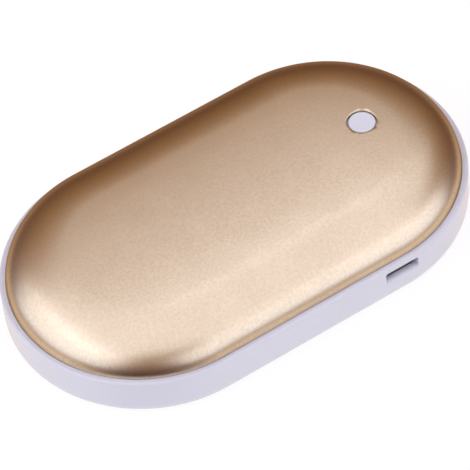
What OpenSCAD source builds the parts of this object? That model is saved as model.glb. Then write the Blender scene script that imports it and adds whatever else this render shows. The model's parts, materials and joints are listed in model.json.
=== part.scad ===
// Rechargeable hand warmer: a domed aluminium cover on a plastic lower case, with a press button,
// a micro-USB charging socket, a pouch cell, a heater film under the cover and a circuit board.
// Millimetres. The origin is the middle of the flat underside and +Z is up. The button is towards
// +X and the charging socket is on the -Y side.

/* [Case] */
// Length of the lower case over its round ends
case_l = 108; // [105:0.5:125]
// Width of the lower case
case_w = 62.6; // [60:0.2:68]
// Height of the lower case, up to its rim
case_h = 10.4; // [9.6:0.1:13]
// Thickness of the side wall
case_wall = 2.2; // [2:0.1:2.4]
// Thickness of the floor
case_floor = 1.6; // [1.2:0.1:2]
// Radius of the rounded bottom edge
bottom_r = 3.1; // [2.6:0.1:4]
// Width of the rim that shows around the cover
rim_ledge = 1.35; // [1.1:0.05:1.6]
// Radius of the rim's outer edge
rim_edge_r = 0.6; // [0.3:0.05:0.9]
// Depth to which the cover's edge sinks into the rim
rebate_h = 1; // [0.7:0.1:1.4]
// Gap between the rim and the cover
seam_gap = 0.12; // [0.05:0.01:0.2]

/* [Cover] */
// Thickness of the aluminium sheet
cover_t = 0.8; // [0.6:0.05:1]
// Width of the cover's curved shoulder
shoulder_w = 13.5; // [11:0.5:15]
// Height of the cover's curved shoulder
shoulder_h = 7.5; // [7:0.1:9]
// Rise of the cover's crown above the shoulder
crown_h = 0.95; // [0.6:0.05:1.4]

/* [Button] */
// Distance from the case's end to the button's centre
button_inset = 20.7; // [19.5:0.1:22]
// Diameter of the button's face
button_d = 5.9; // [5:0.1:6.6]
// Gap around the button in the cover
button_gap = 0.3; // [0.15:0.05:0.4]
// Depth of the button's face below the cover
button_recess = 0.1; // [0:0.05:0.3]
// Radius of the edge of the button's face
button_edge_r = 0.35; // [0.1:0.05:0.6]
// Width of the flange that traps the button under the cover
button_flange_w = 0.85; // [0.6:0.05:1]
// Thickness of that flange
button_flange_t = 0.8; // [0.6:0.1:1]
// Diameter of the button's stem
button_stem_d = 2.9; // [2.4:0.1:3.4]
// Length of the button's stem
button_stem_l = 3.9; // [3.4:0.1:4.4]
// Travel of the button
button_travel = 0.25; // [0.15:0.05:0.35]
// Clearance around and above the flange
flange_gap = 0.12; // [0.08:0.01:0.2]
// Wall of the guide collar
guide_wall = 1.3; // [1:0.1:1.6]
// Height of the guide collar
guide_h = 3.2; // [2.9:0.1:3.5]
// Thickness of the guide collar's floor
guide_floor = 0.8; // [0.6:0.1:1]
// Clearance around the stem
stem_gap = 0.25; // [0.1:0.05:0.4]

/* [Charging slot] */
// Distance from the case's end to the slot's centre
port_inset = 32.55; // [31.5:0.05:34]
// Depth of the slot's centre below the rim
port_drop = 2.75; // [2.6:0.05:3]
// Clearance between each end of the slot and the socket
port_end_gap = 0.35; // [0.25:0.05:0.75]
// Clearance above and below the socket
port_side_gap = 0.125; // [0.1:0.025:0.25]
// Corner radius of the slot
port_corner_r = 0.6; // [0.3:0.05:0.65]
// Depth of the socket's mouth in the slot
port_depth = 1.9; // [1:0.1:2.1]

/* [Inner frame] */
// Thickness of the frame's ring
frame_t = 1.4; // [1:0.1:1.8]
// Thickness of the glue between frame and cover
glue_t = 0.15; // [0.1:0.01:0.2]
// Height of the frame's ring, in steps of the cover's shoulder
frame_steps = 3; // [2:1:4]
// Width of a snap hook
hook_w = 5; // [4:0.1:6]
// Thickness of a snap hook
hook_t = 1.2; // [1:0.1:1.4]
// Length of a snap hook
hook_l = 3.2; // [3:0.1:3.6]
// Reach of a snap hook's barb
barb_w = 0.55; // [0.4:0.05:0.7]
// Height of the barb's flat face below the ring
barb_drop = 1.8; // [1.7:0.1:2]
// Thickness of the barb's edge
barb_edge = 0.4; // [0.2:0.1:0.6]
// Distance from the outer snap hooks to the end of the straight side
hook_end_gap = 6.7; // [6:0.1:8]
// Clearance between a hook and the case
hook_gap = 0.15; // [0.1:0.01:0.2]

/* [Circuit board] */
// Thickness of the board
board_t = 1; // [0.8:0.1:1.2]
// Distance from the board's far side to the case wall
board_back_gap = 13.1; // [12:0.1:14]
// Clearance between the board and the case wall
board_gap = 0.5; // [0.3:0.05:0.7]
// Distance from the board's straight end to the case's end wall
board_end_gap = 6.8; // [6:0.1:7.5]
// Distance from the socket's shell to the board's straight end
board_side_margin = 2.7; // [2.5:0.1:3.2]
// Distance from the button's centre to the board's straight end, with room for a row of chips
chip_room = 18.3; // [18:0.1:19]
// Distance from the board's edges to the screws
screw_inset = 3.5; // [3:0.1:4]
// Distance from the socket's side of the board to its front screws
front_screw_row = 9.5; // [9.2:0.1:10.5]
// Diameter of the screw bosses
boss_d = 5; // [4.4:0.1:5.6]
// Diameter of the screws
screw_d = 2; // [1.8:0.1:2.2]
// Depth to which the screws reach into the floor
screw_sink = 0.4; // [0:0.1:0.8]
// Diameter of the screw heads
screw_head_d = 3.8; // [3.4:0.1:4.2]
// Height of the screw heads
screw_head_h = 1.3; // [1:0.1:1.6]
// Clearance around the screws
screw_gap = 0.05; // [0.03:0.01:0.1]

/* [Battery] */
// Clearance between the cell's corners and the case's round end
cell_corner_gap = 2.5; // [2.3:0.1:4]
// Share of the cell's reach into the round end that lies along the case
cell_corner_share = 0.66; // [0.5:0.01:0.75]
// Thickness of the cell
cell_t = 10; // [8:0.1:10.6]
// Length of the sealed end
cell_seal_l = 4.2; // [4:0.1:5]
// Thickness of the sealed end
cell_seal_t = 0.4; // [0.3:0.05:0.6]
// Radius of the cell's long edges
cell_edge_r = 2; // [1:0.1:3]
// Thickness of the foam tape under the cell
foam_tape_t = 0.6; // [0.4:0.1:0.9]
// Gap between the sealed end and the board
bay_gap = 5; // [4.5:0.1:6]
// Thickness of the ribs round the cell
rib_t = 1; // [0.8:0.1:1.2]
// Height of the ribs round the cell
rib_h = 2.6; // [2:0.1:3]
// Gap between the cell and the ribs
rib_gap = 0.5; // [0.3:0.05:0.8]
// Thickness of the tape bands round the cell
cell_tape_t = 0.08; // [0.05:0.01:0.12]
// Width of the tape bands
cell_tape_w = 6; // [5:0.5:8]

/* [Heater] */
// Distance from the button's guide to the heater film
film_guide_gap = 6.1; // [5:0.1:8]
// Length of the heater film past the centre of the round end
film_over = 5.3; // [2:0.1:5.5]
// Distance from the sides of the heater film to the cover's shoulder
film_side_gap = 1.45; // [1.2:0.05:3]
// Thickness of the heater film
film_t = 0.2; // [0.15:0.01:0.25]
// Corner radius of the heater film
film_corner_r = 2; // [1:0.1:4]
// Glue line between the film and the cover
film_glue = 0.05; // [0.04:0.01:0.08]
// Share of each run's pitch that the heating track fills
track_share = 0.575; // [0.4:0.025:0.7]
// Thickness of the heating track
track_t = 0.1; // [0.06:0.01:0.14]
// Number of to-and-fro pairs of runs of the heating track
track_pairs = 7; // [5:1:7]
// Clearance between the foam pad and the heating track
pad_gap = 0.3; // [0.2:0.05:0.6]

/* [Hidden] */
$fn = 64;
// Length by which a cut passes the face that it starts from
overrun = 1;
// Steps of a rounded edge, of the cover's shoulder and of its crown
edge_steps = 6;
shoulder_steps = 12;
crown_steps = 5;

// Plan of the case: two round ends joined by straight sides
case_r = case_w / 2;
arc_x = case_l / 2 - case_r;
inner_r = case_r - case_wall;
inner_floor_r = bottom_r - case_wall;
shelf_z = case_h - rebate_h;
lip_r = case_r - rim_ledge + seam_gap;
hook_pitch = arc_x - hook_end_gap;

// The cover, measured out from the spine between the two end centres
cover_r = case_r - rim_ledge;
flat_r = cover_r - shoulder_w;
dome_z = case_h + shoulder_h;

// The button, its guide and the stack down to the board
button_x = case_l / 2 - button_inset;
button_spine = button_x - arc_x;
button_r = button_d / 2;
flange_r = button_r + button_flange_w;
face_z = dome_z + crown(button_spine) - button_recess;
flange_z = under_cover(button_spine + flange_r) - flange_gap;
stem_z = flange_z - button_flange_t - button_stem_l;
guide_r = flange_r + flange_gap + guide_wall;
guide_z = under_cover(button_spine + guide_r) - film_glue;
press_gap = 0.1;

// The micro-USB socket, a standard size
usb_w = 7.5;
usb_h = 2.5;
usb_l = 5.6;
usb_wall = 0.25;
usb_chamfer_w = 1.05;
usb_chamfer_h = 0.95;
usb_block_l = 1.4;
usb_fit = 0.05;
tongue_w = 3.7;
tongue_t = 0.6;
tongue_l = 3.4;
tongue_rise = 0.35;
contact_w = 0.3;
contact_t = 0.12;
contact_pitch = 0.65;
contact_foot = 0.8;
contact_inset = 0.3;
contact_count = 5;
anchor_w = 0.7;
anchor_l = 1.3;
anchor_share = [0.3, 0.75];
port_x = case_l / 2 - port_inset;
port_z = case_h - port_drop;
port_w = usb_w + 2 * port_end_gap;
port_h = usb_h + 2 * port_side_gap;
usb_y = port_depth - case_r;
usb_back_y = usb_y + usb_l + contact_inset + contact_foot;

// The board and its places
board_z = port_z - usb_h / 2;
board_x0 = min(port_x - usb_w / 2 - board_side_margin, button_x - chip_room);
board_x1 = case_l / 2 - case_wall - board_end_gap;
board_y0 = board_gap - inner_r;
board_y1 = inner_r - board_back_gap;
board_l = board_x1 - board_x0;
board_w = board_y1 - board_y0;
boss_h = board_z - board_t - case_floor;
screw_l = boss_h + screw_sink;
screw_places = [
    [board_x0 + screw_inset, board_y0 + front_screw_row],
    [board_x0 + screw_inset, board_y1 - screw_inset],
    [board_x1 - screw_inset, board_y0 + front_screw_row + screw_inset],
    [board_x1 - screw_inset, board_y1 - screw_inset]
];
recess_w = 0.5;
recess_l = 2.2;
recess_h = 0.7;

// The long-stem tact switch
switch_w = 6;
switch_d = 5.5;
switch_h = 2.9;
switch_well_d = 4.9;
switch_well_floor = 1.1;
switch_cover_t = 0.3;
switch_tab_w = 3;
switch_tab_l = 1.6;
plunger_d = 3.4;
plunger_gap = 0.15;
plunger_flange_d = 4.5;
plunger_flange_t = 0.5;
plunger_play = 0.05;
plunger_nub_d = 1.5;
snap_d = 4.3;
snap_t = 0.1;
snap_spare = 0.1;
snap_rise = button_travel + snap_spare;
terminal_w = 0.7;
terminal_t = 0.2;
terminal_reach = 1.1;
terminal_rise = 0.8;
terminal_row = 2.25;
switch_z = board_z + switch_h;
well_z = board_z + switch_well_floor;

// Chips: body length, width and height, and the pins' number a side and pitch
controller_size = [8.6, 3.9, 1.4];
controller_pins = 7;
charger_size = [4.9, 3.9, 1.4];
charger_pins = 4;
chip_pitch = 1.27;
chip_lift = 0.15;
pin_w = 0.42;
pin_t = 0.2;
pin_reach = 1;
pin_rise = 0.55;
transistor_size = [2.9, 1.4, 1];
transistor_pitch = 0.95;
transistor_reach = 0.5;
transistor_rise = 0.4;
chip_from_button = 7.8;
chip_x = button_x - chip_from_button;
controller_share = 0.745;
charger_share = 0.46;
transistor_shares = [[0.37, 0.29], [0.55, 0.225]];

// Other parts on the board, at shares of the board's length and width
inductor_w = 6;
inductor_h = 2.8;
inductor_core_d = 4.6;
inductor_share = [0.69, 0.38];
capacitor_size = [3.2, 1.6, 1.2];
capacitor_cap = 0.5;
capacitor_shares = [[0.5, 0.36], [0.6, 0.11], [0.83, 0.76], [0.82, 0.55], [0.36, 0.94]];
socket_capacitor = [1.65, 2.1];
resistor_size = [1.6, 0.8, 0.45];
resistor_cap = 0.3;
resistor_shares = [
    [0.24, 0.29], [0.24, 0.35], [0.52, 0.93], [0.62, 0.93], [0.72, 0.93], [0.78, 0.17]
];
led_size = [2, 1.25, 0.8];
led_cap = 0.35;
led_offset = 4.6;

// The cell, its protection board and the leads
cell_x1 = board_x0 - bay_gap;
cell_corner_r = inner_r - cell_corner_gap;
cell_x0 = -arc_x - cell_corner_share * cell_corner_r;
cell_l = cell_x1 - cell_seal_l - cell_x0;
cell_w = 2 * cell_corner_r * sqrt(1 - cell_corner_share * cell_corner_share);
cell_z = case_floor + foam_tape_t;
cell_mid_x = cell_x0 + cell_l / 2;
cell_face_x = cell_x0 + cell_l;
seal_z = cell_z + cell_t / 2;
tape_strip_share = [0.8, 0.18];
tape_strip_y_share = 0.27;
band_share = [0.12, 0.9];
tab_w = 4;
tab_t = 0.15;
tab_share = 0.37;
guard_w = 3.4;
guard_inset = 5;
guard_l = cell_w - 2 * guard_inset;
guard_t = 0.8;
guard_gap = 0.3;
guard_z = seal_z + cell_seal_t / 2 + tab_t;
guard_x = cell_face_x + guard_gap + guard_w / 2;
guard_chip_size = [3, 1.6, 1];
guard_chip_y = [-1.5, 3.5];
foam_inset = [6, 4];
foam_side_inset = 5;

// Solder joints and leads
solder_d = 2;
solder_top_d = 1.5;
solder_h = 0.5;
lead_d = 1.3;
fine_solder_d = 1.3;
fine_solder_top_d = 0.9;
fine_lead_d = 0.7;
lead_sides = 8;
lead_steps = 3;
pad_row = 3.2;
pad_x = board_x0 + pad_row;
battery_pad_shares = [0.34, 0.2];
guard_pad_shares = [-0.2, -0.35];
heater_pad_shares = [0.7, 0.83];
film_pad_shares = [0.12, 0.25];
sensor_pad_shares = [0.475, 0.545];
film_pad_inset = 2.6;
lead_rise = 1.2;

// The sensor
bead_d = 1.6;
bead_l = 3;
bead_inset = 10;
bead_share = -0.1;
sensor_patch_l = 6;
sensor_patch_t = 0.08;
sensor_patch_edge = 2;
sensor_clear = 0.04;
sensor_half = bead_d / 2 + sensor_clear;
film_x0 = -arc_x - film_over;
film_x1 = button_x - guide_r - film_guide_gap;
film_l = film_x1 - film_x0;
film_w = 2 * (flat_r - film_side_gap);
film_pad_x = film_x1 - film_pad_inset;
track_runs = 2 * round(track_pairs);
track_pitch = (film_w - 2 * film_corner_r) / (track_runs - 1 + track_share);
track_w = track_share * track_pitch;
bead_x = film_x1 - bead_inset;
bead_y = bead_share * film_w;
sensor_reach = abs(bead_y) + sensor_half + 2 * sensor_patch_edge;
bead_stub_l = (sensor_patch_l - bead_l) / 2 + fine_lead_d;

// Places that several pieces share
track_z = film_z(film_w / 2) - film_t - track_t;
bead_z = film_z(sensor_reach) - film_t - track_t - sensor_half;

// Height of the crown above the shoulder, at a distance from the spine
function crown(r) = crown_h * (1 - r * r / (cover_r * cover_r));

// Height of the cover's underside, at a distance from the spine
function under_cover(r) = crown(r) + (r < flat_r ? dome_z - cover_t :
    case_h + (shoulder_h - cover_t) * sqrt(1 - pow((r - flat_r) / (shoulder_w - cover_t), 2)));

// Height of the film's upper face, at a distance from the spine
function film_z(r) = under_cover(r) - film_glue;

// Points of an arc about a centre, from one angle to another
function arc(centre, r, a0, a1, steps) = [
    for (i = [0 : steps]) let (a = a0 + (a1 - a0) * i / steps)
        [centre[0] + r * cos(a), centre[1] + r * sin(a)]
];

// Points of the shoulder's quarter ellipse from the rim up, sunk by a depth below the outside
function shoulder(depth, steps = shoulder_steps) = [
    for (i = [0 : steps])
        let (a = 90 * i / shoulder_steps, r = flat_r + (shoulder_w - depth) * cos(a))
            [r, case_h + (shoulder_h - depth) * sin(a) + crown(r)]
];

// Points of the crown from the spine out to the shoulder, without the shoulder's first point
function crown_run(depth) = [
    for (i = [0 : crown_steps - 1]) let (r = flat_r * i / crown_steps) [r, dome_z - depth + crown(r)]
];

function reversed(pts) = [for (i = [len(pts) - 1 : -1 : 0]) pts[i]];

// The points of a half profile that begins and ends on the axis, with its mirror image added
function both_sides(pts) = concat(pts, [for (p = reversed(pts)) if (p[0] > 0) [-p[0], p[1]]]);

function unit(v) = v / norm(v);

// A place on the board from its shares of the board's length and width
function on_board(share) = [board_x0 + share[0] * board_l, board_y0 + share[1] * board_w];

// A place in the chips' row from its share of the board's width
function in_row(share) = [chip_x, board_y0 + share * board_w];

// The y of a pad between the two screws of the board's straight end, from its share of the way
function pad_y(share) = screw_places[0][1] + share * (screw_places[1][1] - screw_places[0][1]);

// Places of all capacitors, the last of them behind the socket
capacitor_places = concat(
    [for (share = capacitor_shares) on_board(share)],
    [[port_x + socket_capacitor[0], usb_back_y + socket_capacitor[1]]]
);

// Carries a half profile round the stadium plan. A profile that meets the axis is closed across it.
module round_plan(pts, closed = true) {
    for (turn = [0, 180])
        rotate([0, 0, turn]) translate([arc_x, 0, 0]) rotate([0, 0, -90])
            rotate_extrude(angle = 180) polygon(pts);
    rotate([90, 0, 90]) linear_extrude(2 * arc_x, center = true) {
        polygon(closed ? both_sides(pts) : pts);
        if (!closed) mirror([1, 0]) polygon(pts);
    }
}

// Copies its children to each snap hook, with +X pointing out through the wall
module at_hooks() {
    for (turn = [0, 180]) rotate([0, 0, turn]) translate([arc_x, 0, 0]) children();
    for (x = [-hook_pitch, 0, hook_pitch]) translate([x, 0, 0]) rotate([0, 0, 90]) children();
    for (x = [-hook_pitch, 0]) translate([x, 0, 0]) rotate([0, 0, -90]) children();
}

// A rounded rectangle from squares and circles
module rounded_plan(l, w, r) {
    square([l - 2 * r, w], center = true);
    square([l, w - 2 * r], center = true);
    for (x = [-1, 1], y = [-1, 1]) translate([x * (l / 2 - r), y * (w / 2 - r)]) circle(r);
}

// A block centred in plan and standing on z = 0
module block(size) {
    translate([-size[0] / 2, -size[1] / 2, 0]) cube(size);
}

module bottom_case() {
    profile = concat(
        [[0, 0]],
        arc([case_r - bottom_r, bottom_r], bottom_r, -90, 0, edge_steps),
        arc([case_r - rim_edge_r, case_h - rim_edge_r], rim_edge_r, 0, 90, edge_steps / 2),
        [[lip_r, case_h], [lip_r, shelf_z], [inner_r, shelf_z]],
        arc([inner_r - inner_floor_r, case_floor + inner_floor_r], inner_floor_r, 0, -90, edge_steps / 2),
        [[0, case_floor]]
    );
    notch_w = hook_w + 2 * hook_gap;
    notch_top = shelf_z - barb_drop + hook_gap;
    notch_h = hook_l - barb_drop + 2 * hook_gap;
    rib_y = cell_w / 2 + rib_gap;
    color("white") {
        difference() {
            union() {
                round_plan(profile);
                for (p = screw_places) translate([p[0], p[1], case_floor]) cylinder(h = boss_h, d = boss_d);
                for (side = [-1, 1])
                    translate([cell_mid_x, side * (rib_y + rib_t / 2), case_floor])
                        block([cell_l - 2 * cell_edge_r, rib_t, rib_h]);
                translate([cell_x1 + rib_gap + rib_t / 2, 0, case_floor]) block([rib_t, guard_l, rib_h]);
            }
            for (p = screw_places)
                translate([p[0], p[1], board_z - board_t - screw_l])
                    cylinder(h = screw_l + overrun, d = screw_d + 2 * screw_gap);
            translate([port_x, usb_y + usb_l, port_z]) rotate([90, 0, 0])
                linear_extrude(port_depth + usb_l + overrun) rounded_plan(port_w, port_h, port_corner_r);
            at_hooks()
                translate([inner_r - overrun, -notch_w / 2, notch_top - notch_h])
                    cube([overrun + barb_w + hook_gap, notch_w, notch_h]);
        }
    }
}

module top_cover() {
    profile = concat(
        crown_run(0),
        reversed(shoulder(0)),
        [[cover_r, shelf_z], [cover_r - cover_t, shelf_z]],
        shoulder(cover_t),
        reversed(crown_run(cover_t))
    );
    color([0.83, 0.7, 0.58])
    difference() {
        round_plan(profile);
        translate([button_x, 0, case_h])
            cylinder(h = shoulder_h + crown_h + overrun, r = button_r + button_gap);
    }
}

module inner_frame() {
    depth = cover_t + glue_t;
    outer = concat([[cover_r - depth, shelf_z]], shoulder(depth, frame_steps));
    profile = concat(outer, [for (p = reversed(outer)) [p[0] - frame_t, p[1]]]);
    face = inner_r - hook_gap;
    barb_z = shelf_z - barb_drop;
    hook = [
        [face - hook_t, shelf_z + frame_t / 2],
        [face, shelf_z + frame_t / 2],
        [face, barb_z],
        [face + barb_w, barb_z],
        [face + barb_w, barb_z - barb_edge],
        [face, shelf_z - hook_l],
        [face - hook_t, shelf_z - hook_l]
    ];
    color("whitesmoke") {
        round_plan(profile, closed = false);
        at_hooks() rotate([90, 0, 0]) linear_extrude(hook_w, center = true) polygon(hook);
    }
}

module cover_adhesive() {
    profile = concat(shoulder(cover_t, frame_steps), reversed(shoulder(cover_t + glue_t, frame_steps)));
    color("khaki") round_plan(profile, closed = false);
}

module button_cap() {
    profile = concat(
        [[0, stem_z], [button_stem_d / 2, stem_z], [button_stem_d / 2, flange_z - button_flange_t]],
        [[flange_r, flange_z - button_flange_t], [flange_r, flange_z], [button_r, flange_z]],
        arc([button_r - button_edge_r, face_z - button_edge_r], button_edge_r, 0, 90, edge_steps / 2),
        [[0, face_z]]
    );
    color("ghostwhite") translate([button_x, 0, 0]) rotate_extrude() polygon(profile);
}

module button_guide() {
    bore_r = flange_r + flange_gap;
    hole_r = button_stem_d / 2 + stem_gap;
    profile = [
        [hole_r, guide_z - guide_h],
        [guide_r, guide_z - guide_h],
        [guide_r, guide_z],
        [bore_r, guide_z],
        [bore_r, guide_z - guide_h + guide_floor],
        [hole_r, guide_z - guide_h + guide_floor]
    ];
    color("gainsboro") translate([button_x, 0, 0]) rotate_extrude() polygon(profile);
}

module circuit_board() {
    edge_r = inner_r - board_gap;
    color("darkgreen")
    translate([0, 0, board_z - board_t])
    difference() {
        linear_extrude(board_t) intersection() {
            translate([board_x0, board_y0]) square([board_l, board_w]);
            union() {
                translate([board_x0, -edge_r]) square([arc_x - board_x0, 2 * edge_r]);
                translate([arc_x, 0]) circle(edge_r);
            }
        }
        for (p = screw_places)
            translate([p[0], p[1], -overrun])
                cylinder(h = board_t + 2 * overrun, d = screw_d + 2 * screw_gap);
    }
}

module board_screws() {
    color("silver")
    for (p = screw_places)
        translate([p[0], p[1], board_z])
        difference() {
            union() {
                cylinder(h = screw_head_h, d = screw_head_d);
                translate([0, 0, -board_t - screw_l + screw_gap])
                    cylinder(h = board_t + screw_l - screw_gap, d = screw_d);
            }
            for (turn = [0, 90])
                rotate([0, 0, turn]) translate([0, 0, screw_head_h - recess_h])
                    block([recess_l, recess_w, recess_h + overrun]);
        }
}

module switch_base() {
    color("dimgray")
    translate([button_x, 0, board_z])
    difference() {
        block([switch_w, switch_d, switch_h]);
        translate([0, 0, switch_well_floor])
            cylinder(h = switch_h + overrun, d = switch_well_d);
    }
}

module switch_cover() {
    color("silver")
    translate([button_x, 0, switch_z])
    difference() {
        union() {
            block([switch_w, switch_d, switch_cover_t]);
            for (side = [-1, 1])
                translate([0, side * (switch_d + switch_cover_t) / 2, -switch_tab_l])
                    block([switch_tab_w, switch_cover_t, switch_tab_l + switch_cover_t]);
        }
        translate([0, 0, -overrun])
            cylinder(h = switch_cover_t + 2 * overrun, d = plunger_d + 2 * plunger_gap);
    }
}

module switch_plunger() {
    flange_top = switch_z - plunger_play;
    nub_z = well_z + snap_rise + snap_t + plunger_play;
    color("black")
    translate([button_x, 0, 0]) {
        translate([0, 0, nub_z]) cylinder(h = flange_top - plunger_flange_t - nub_z, d = plunger_nub_d);
        translate([0, 0, flange_top - plunger_flange_t])
            cylinder(h = plunger_flange_t, d = plunger_flange_d);
        translate([0, 0, flange_top]) cylinder(h = stem_z - press_gap - flange_top, d = plunger_d);
    }
}

// A shallow dome of even thickness, from two arcs of one rise
module switch_snap_dome() {
    bend_r = (snap_d * snap_d / 4 + snap_rise * snap_rise) / (2 * snap_rise);
    spread = asin(snap_d / 2 / bend_r);
    profile = concat(
        arc([0, snap_rise - bend_r], bend_r, 90, 90 - spread, edge_steps),
        reversed(arc([0, snap_rise - bend_r + snap_t], bend_r, 90, 90 - spread, edge_steps))
    );
    color("goldenrod") translate([button_x, 0, well_z]) rotate_extrude() polygon(profile);
}

// A gull-wing pin seen from the end of its body, reaching out along +X from x = 0
module gull_pin(w, t, reach, rise) {
    knee = reach / 2;
    rotate([90, 0, 0]) linear_extrude(w, center = true)
        polygon([
            [0, rise], [0, rise + t], [knee, rise + t], [knee, t],
            [reach, t], [reach, 0], [knee - t, 0], [knee - t, rise]
        ]);
}

module switch_terminals() {
    color("silver")
    translate([button_x, 0, board_z])
    for (turn = [0, 180], y = [-1, 1])
        rotate([0, 0, turn]) translate([switch_w / 2, y * terminal_row, 0])
            gull_pin(terminal_w, terminal_t, terminal_reach, terminal_rise);
}

// Cross section of the socket, wide at the top, with an inset from the shell's outside
module usb_section(inset) {
    half = usb_w / 2 - inset;
    top = usb_h - inset;
    polygon([
        [-half, top], [-half, usb_chamfer_h + inset / 2],
        [-half + usb_chamfer_w, inset], [half - usb_chamfer_w, inset],
        [half, usb_chamfer_h + inset / 2], [half, top]
    ]);
}

// Turns a cross section into a bar along +Y that starts at the socket's mouth
module along_socket(start, length) {
    translate([port_x, usb_y + start + length, board_z]) rotate([90, 0, 0]) linear_extrude(length) children();
}

module usb_shell() {
    color("silver") {
        along_socket(0, usb_l) difference() {
            usb_section(0);
            usb_section(usb_wall);
        }
        for (side = [-1, 1], share = anchor_share)
            translate([port_x + side * (usb_w / 2 + anchor_w / 2 - usb_wall), usb_y + share * usb_l, board_z])
                block([anchor_w, anchor_l, usb_chamfer_h + usb_wall]);
    }
}

// Side view of a contact in the socket: y inwards from the mouth, z up from the board
function contact_line(grow) = let (
    z = usb_h / 2 + tongue_rise - tongue_t / 2,
    y0 = usb_l - usb_block_l - tongue_l + contact_inset - grow,
    y1 = usb_l + contact_inset
) [
    [y0, z], [y1 + contact_t + grow, z], [y1 + contact_t + grow, contact_t + grow],
    [y1 + contact_foot, contact_t + grow], [y1 + contact_foot, -grow], [y1 - grow, -grow],
    [y1 - grow, z - contact_t - grow], [y0, z - contact_t - grow]
];

module contact_row(w, grow) {
    for (i = [0 : contact_count - 1])
        translate([port_x + (i - (contact_count - 1) / 2) * contact_pitch, usb_y, board_z])
            rotate([90, 0, 90]) linear_extrude(w, center = true) polygon(contact_line(grow));
}

module usb_housing() {
    tongue_y = usb_y + usb_l - usb_block_l - tongue_l / 2;
    tongue_z = board_z + usb_h / 2 + tongue_rise - tongue_t / 2;
    color("dimgray")
    difference() {
        union() {
            along_socket(usb_l - usb_block_l, usb_block_l) usb_section(usb_wall + usb_fit);
            translate([port_x, tongue_y, tongue_z]) block([tongue_w, tongue_l, tongue_t]);
        }
        contact_row(contact_w + 2 * usb_fit, usb_fit);
    }
}

module usb_contacts() {
    color("gold") contact_row(contact_w, 0);
}

// A chip's body with its long side along Y
module chip_body(place, size) {
    translate([place[0], place[1], board_z + chip_lift]) block([size[1], size[0], size[2]]);
}

module controller_chip() {
    color("black") chip_body(in_row(controller_share), controller_size);
}

module charger_chip() {
    color("black") chip_body(in_row(charger_share), charger_size);
}

module power_transistors() {
    color("black")
    for (share = transistor_shares) chip_body(on_board(share), transistor_size);
}

// Rows of pins down both long sides of a chip, with the given pins along each side
module pins_of(place, size, steps, pitch, reach, rise) {
    for (turn = [0, 180], i = steps[turn / 180])
        translate([place[0], place[1], board_z]) rotate([0, 0, turn])
            translate([size[1] / 2, i * pitch, 0]) gull_pin(pin_w, pin_t, reach, rise);
}

module chip_pins() {
    row = function (n) [for (i = [0 : n - 1]) i - (n - 1) / 2];
    color("silver") {
        pins_of(in_row(controller_share), controller_size, [row(controller_pins), row(controller_pins)],
            chip_pitch, pin_reach, pin_rise);
        pins_of(in_row(charger_share), charger_size, [row(charger_pins), row(charger_pins)],
            chip_pitch, pin_reach, pin_rise);
        for (share = transistor_shares)
            pins_of(on_board(share), transistor_size, [[-1, 1], [0]], transistor_pitch,
                transistor_reach, transistor_rise);
    }
}

module power_inductor() {
    place = on_board(inductor_share);
    color("dimgray")
    translate([place[0], place[1], board_z]) {
        block([inductor_w, inductor_w, inductor_h / 4]);
        cylinder(h = inductor_h, d = inductor_core_d);
        translate([0, 0, inductor_h * 3 / 4]) block([inductor_w, inductor_w, inductor_h / 4]);
    }
}

// The middle of a two-ended chip part, without its metal end caps
module chip_middle(place, size, cap) {
    translate([place[0], place[1], board_z]) block([size[0] - 2 * cap, size[1], size[2]]);
}

module chip_ends(place, size, cap) {
    for (side = [-1, 1])
        translate([place[0] + side * (size[0] - cap) / 2, place[1], board_z]) block([cap, size[1], size[2]]);
}

module capacitors() {
    color("tan") for (place = capacitor_places) chip_middle(place, capacitor_size, capacitor_cap);
}

module resistors() {
    color("black") for (share = resistor_shares) chip_middle(on_board(share), resistor_size, resistor_cap);
}

module status_leds() {
    color("lightyellow") for (y = [-1, 1]) chip_middle([button_x, y * led_offset], led_size, led_cap);
}

module component_end_caps() {
    color("silver") {
        for (place = capacitor_places) chip_ends(place, capacitor_size, capacitor_cap);
        for (share = resistor_shares) chip_ends(on_board(share), resistor_size, resistor_cap);
        for (y = [-1, 1]) chip_ends([button_x, y * led_offset], led_size, led_cap);
    }
}

// Cross section of the pouch cell with rounded long edges, grown by a margin
module cell_section(grow) {
    half = cell_w / 2 - cell_edge_r;
    r = cell_edge_r + grow;
    low = cell_z + cell_edge_r;
    high = cell_z + cell_t - cell_edge_r;
    polygon(concat(
        arc([half, high], r, 0, 90, edge_steps),
        arc([-half, high], r, 90, 180, edge_steps),
        arc([-half, low], r, 180, 270, edge_steps),
        arc([half, low], r, 270, 360, edge_steps)
    ));
}

module battery_cell() {
    sheet_l = cell_l / 2 + cell_seal_l;
    color("lightsteelblue") {
        translate([cell_x0, 0, 0]) rotate([90, 0, 90]) linear_extrude(cell_l) cell_section(0);
        translate([cell_x1 - sheet_l / 2, 0, seal_z - cell_seal_t / 2])
            block([sheet_l, cell_w - 2 * cell_edge_r, cell_seal_t]);
    }
}

module cell_tabs() {
    color("silver")
    for (side = [-1, 1])
        translate([guard_x, side * tab_share * guard_l, seal_z + cell_seal_t / 2])
            block([guard_w, tab_w, tab_t]);
}

module protection_board() {
    color("darkgreen") translate([guard_x, 0, guard_z]) block([guard_w, guard_l, guard_t]);
}

module protection_chips() {
    color("black")
    for (y = guard_chip_y)
        translate([guard_x, y, guard_z + guard_t])
            block([guard_chip_size[1], guard_chip_size[0], guard_chip_size[2]]);
}

module cell_tape() {
    color("orange")
    for (share = band_share)
        translate([cell_x0 + share * cell_l - cell_tape_w / 2, 0, 0]) rotate([90, 0, 90])
            linear_extrude(cell_tape_w) difference() {
                cell_section(cell_tape_t);
                cell_section(0);
            }
}

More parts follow.
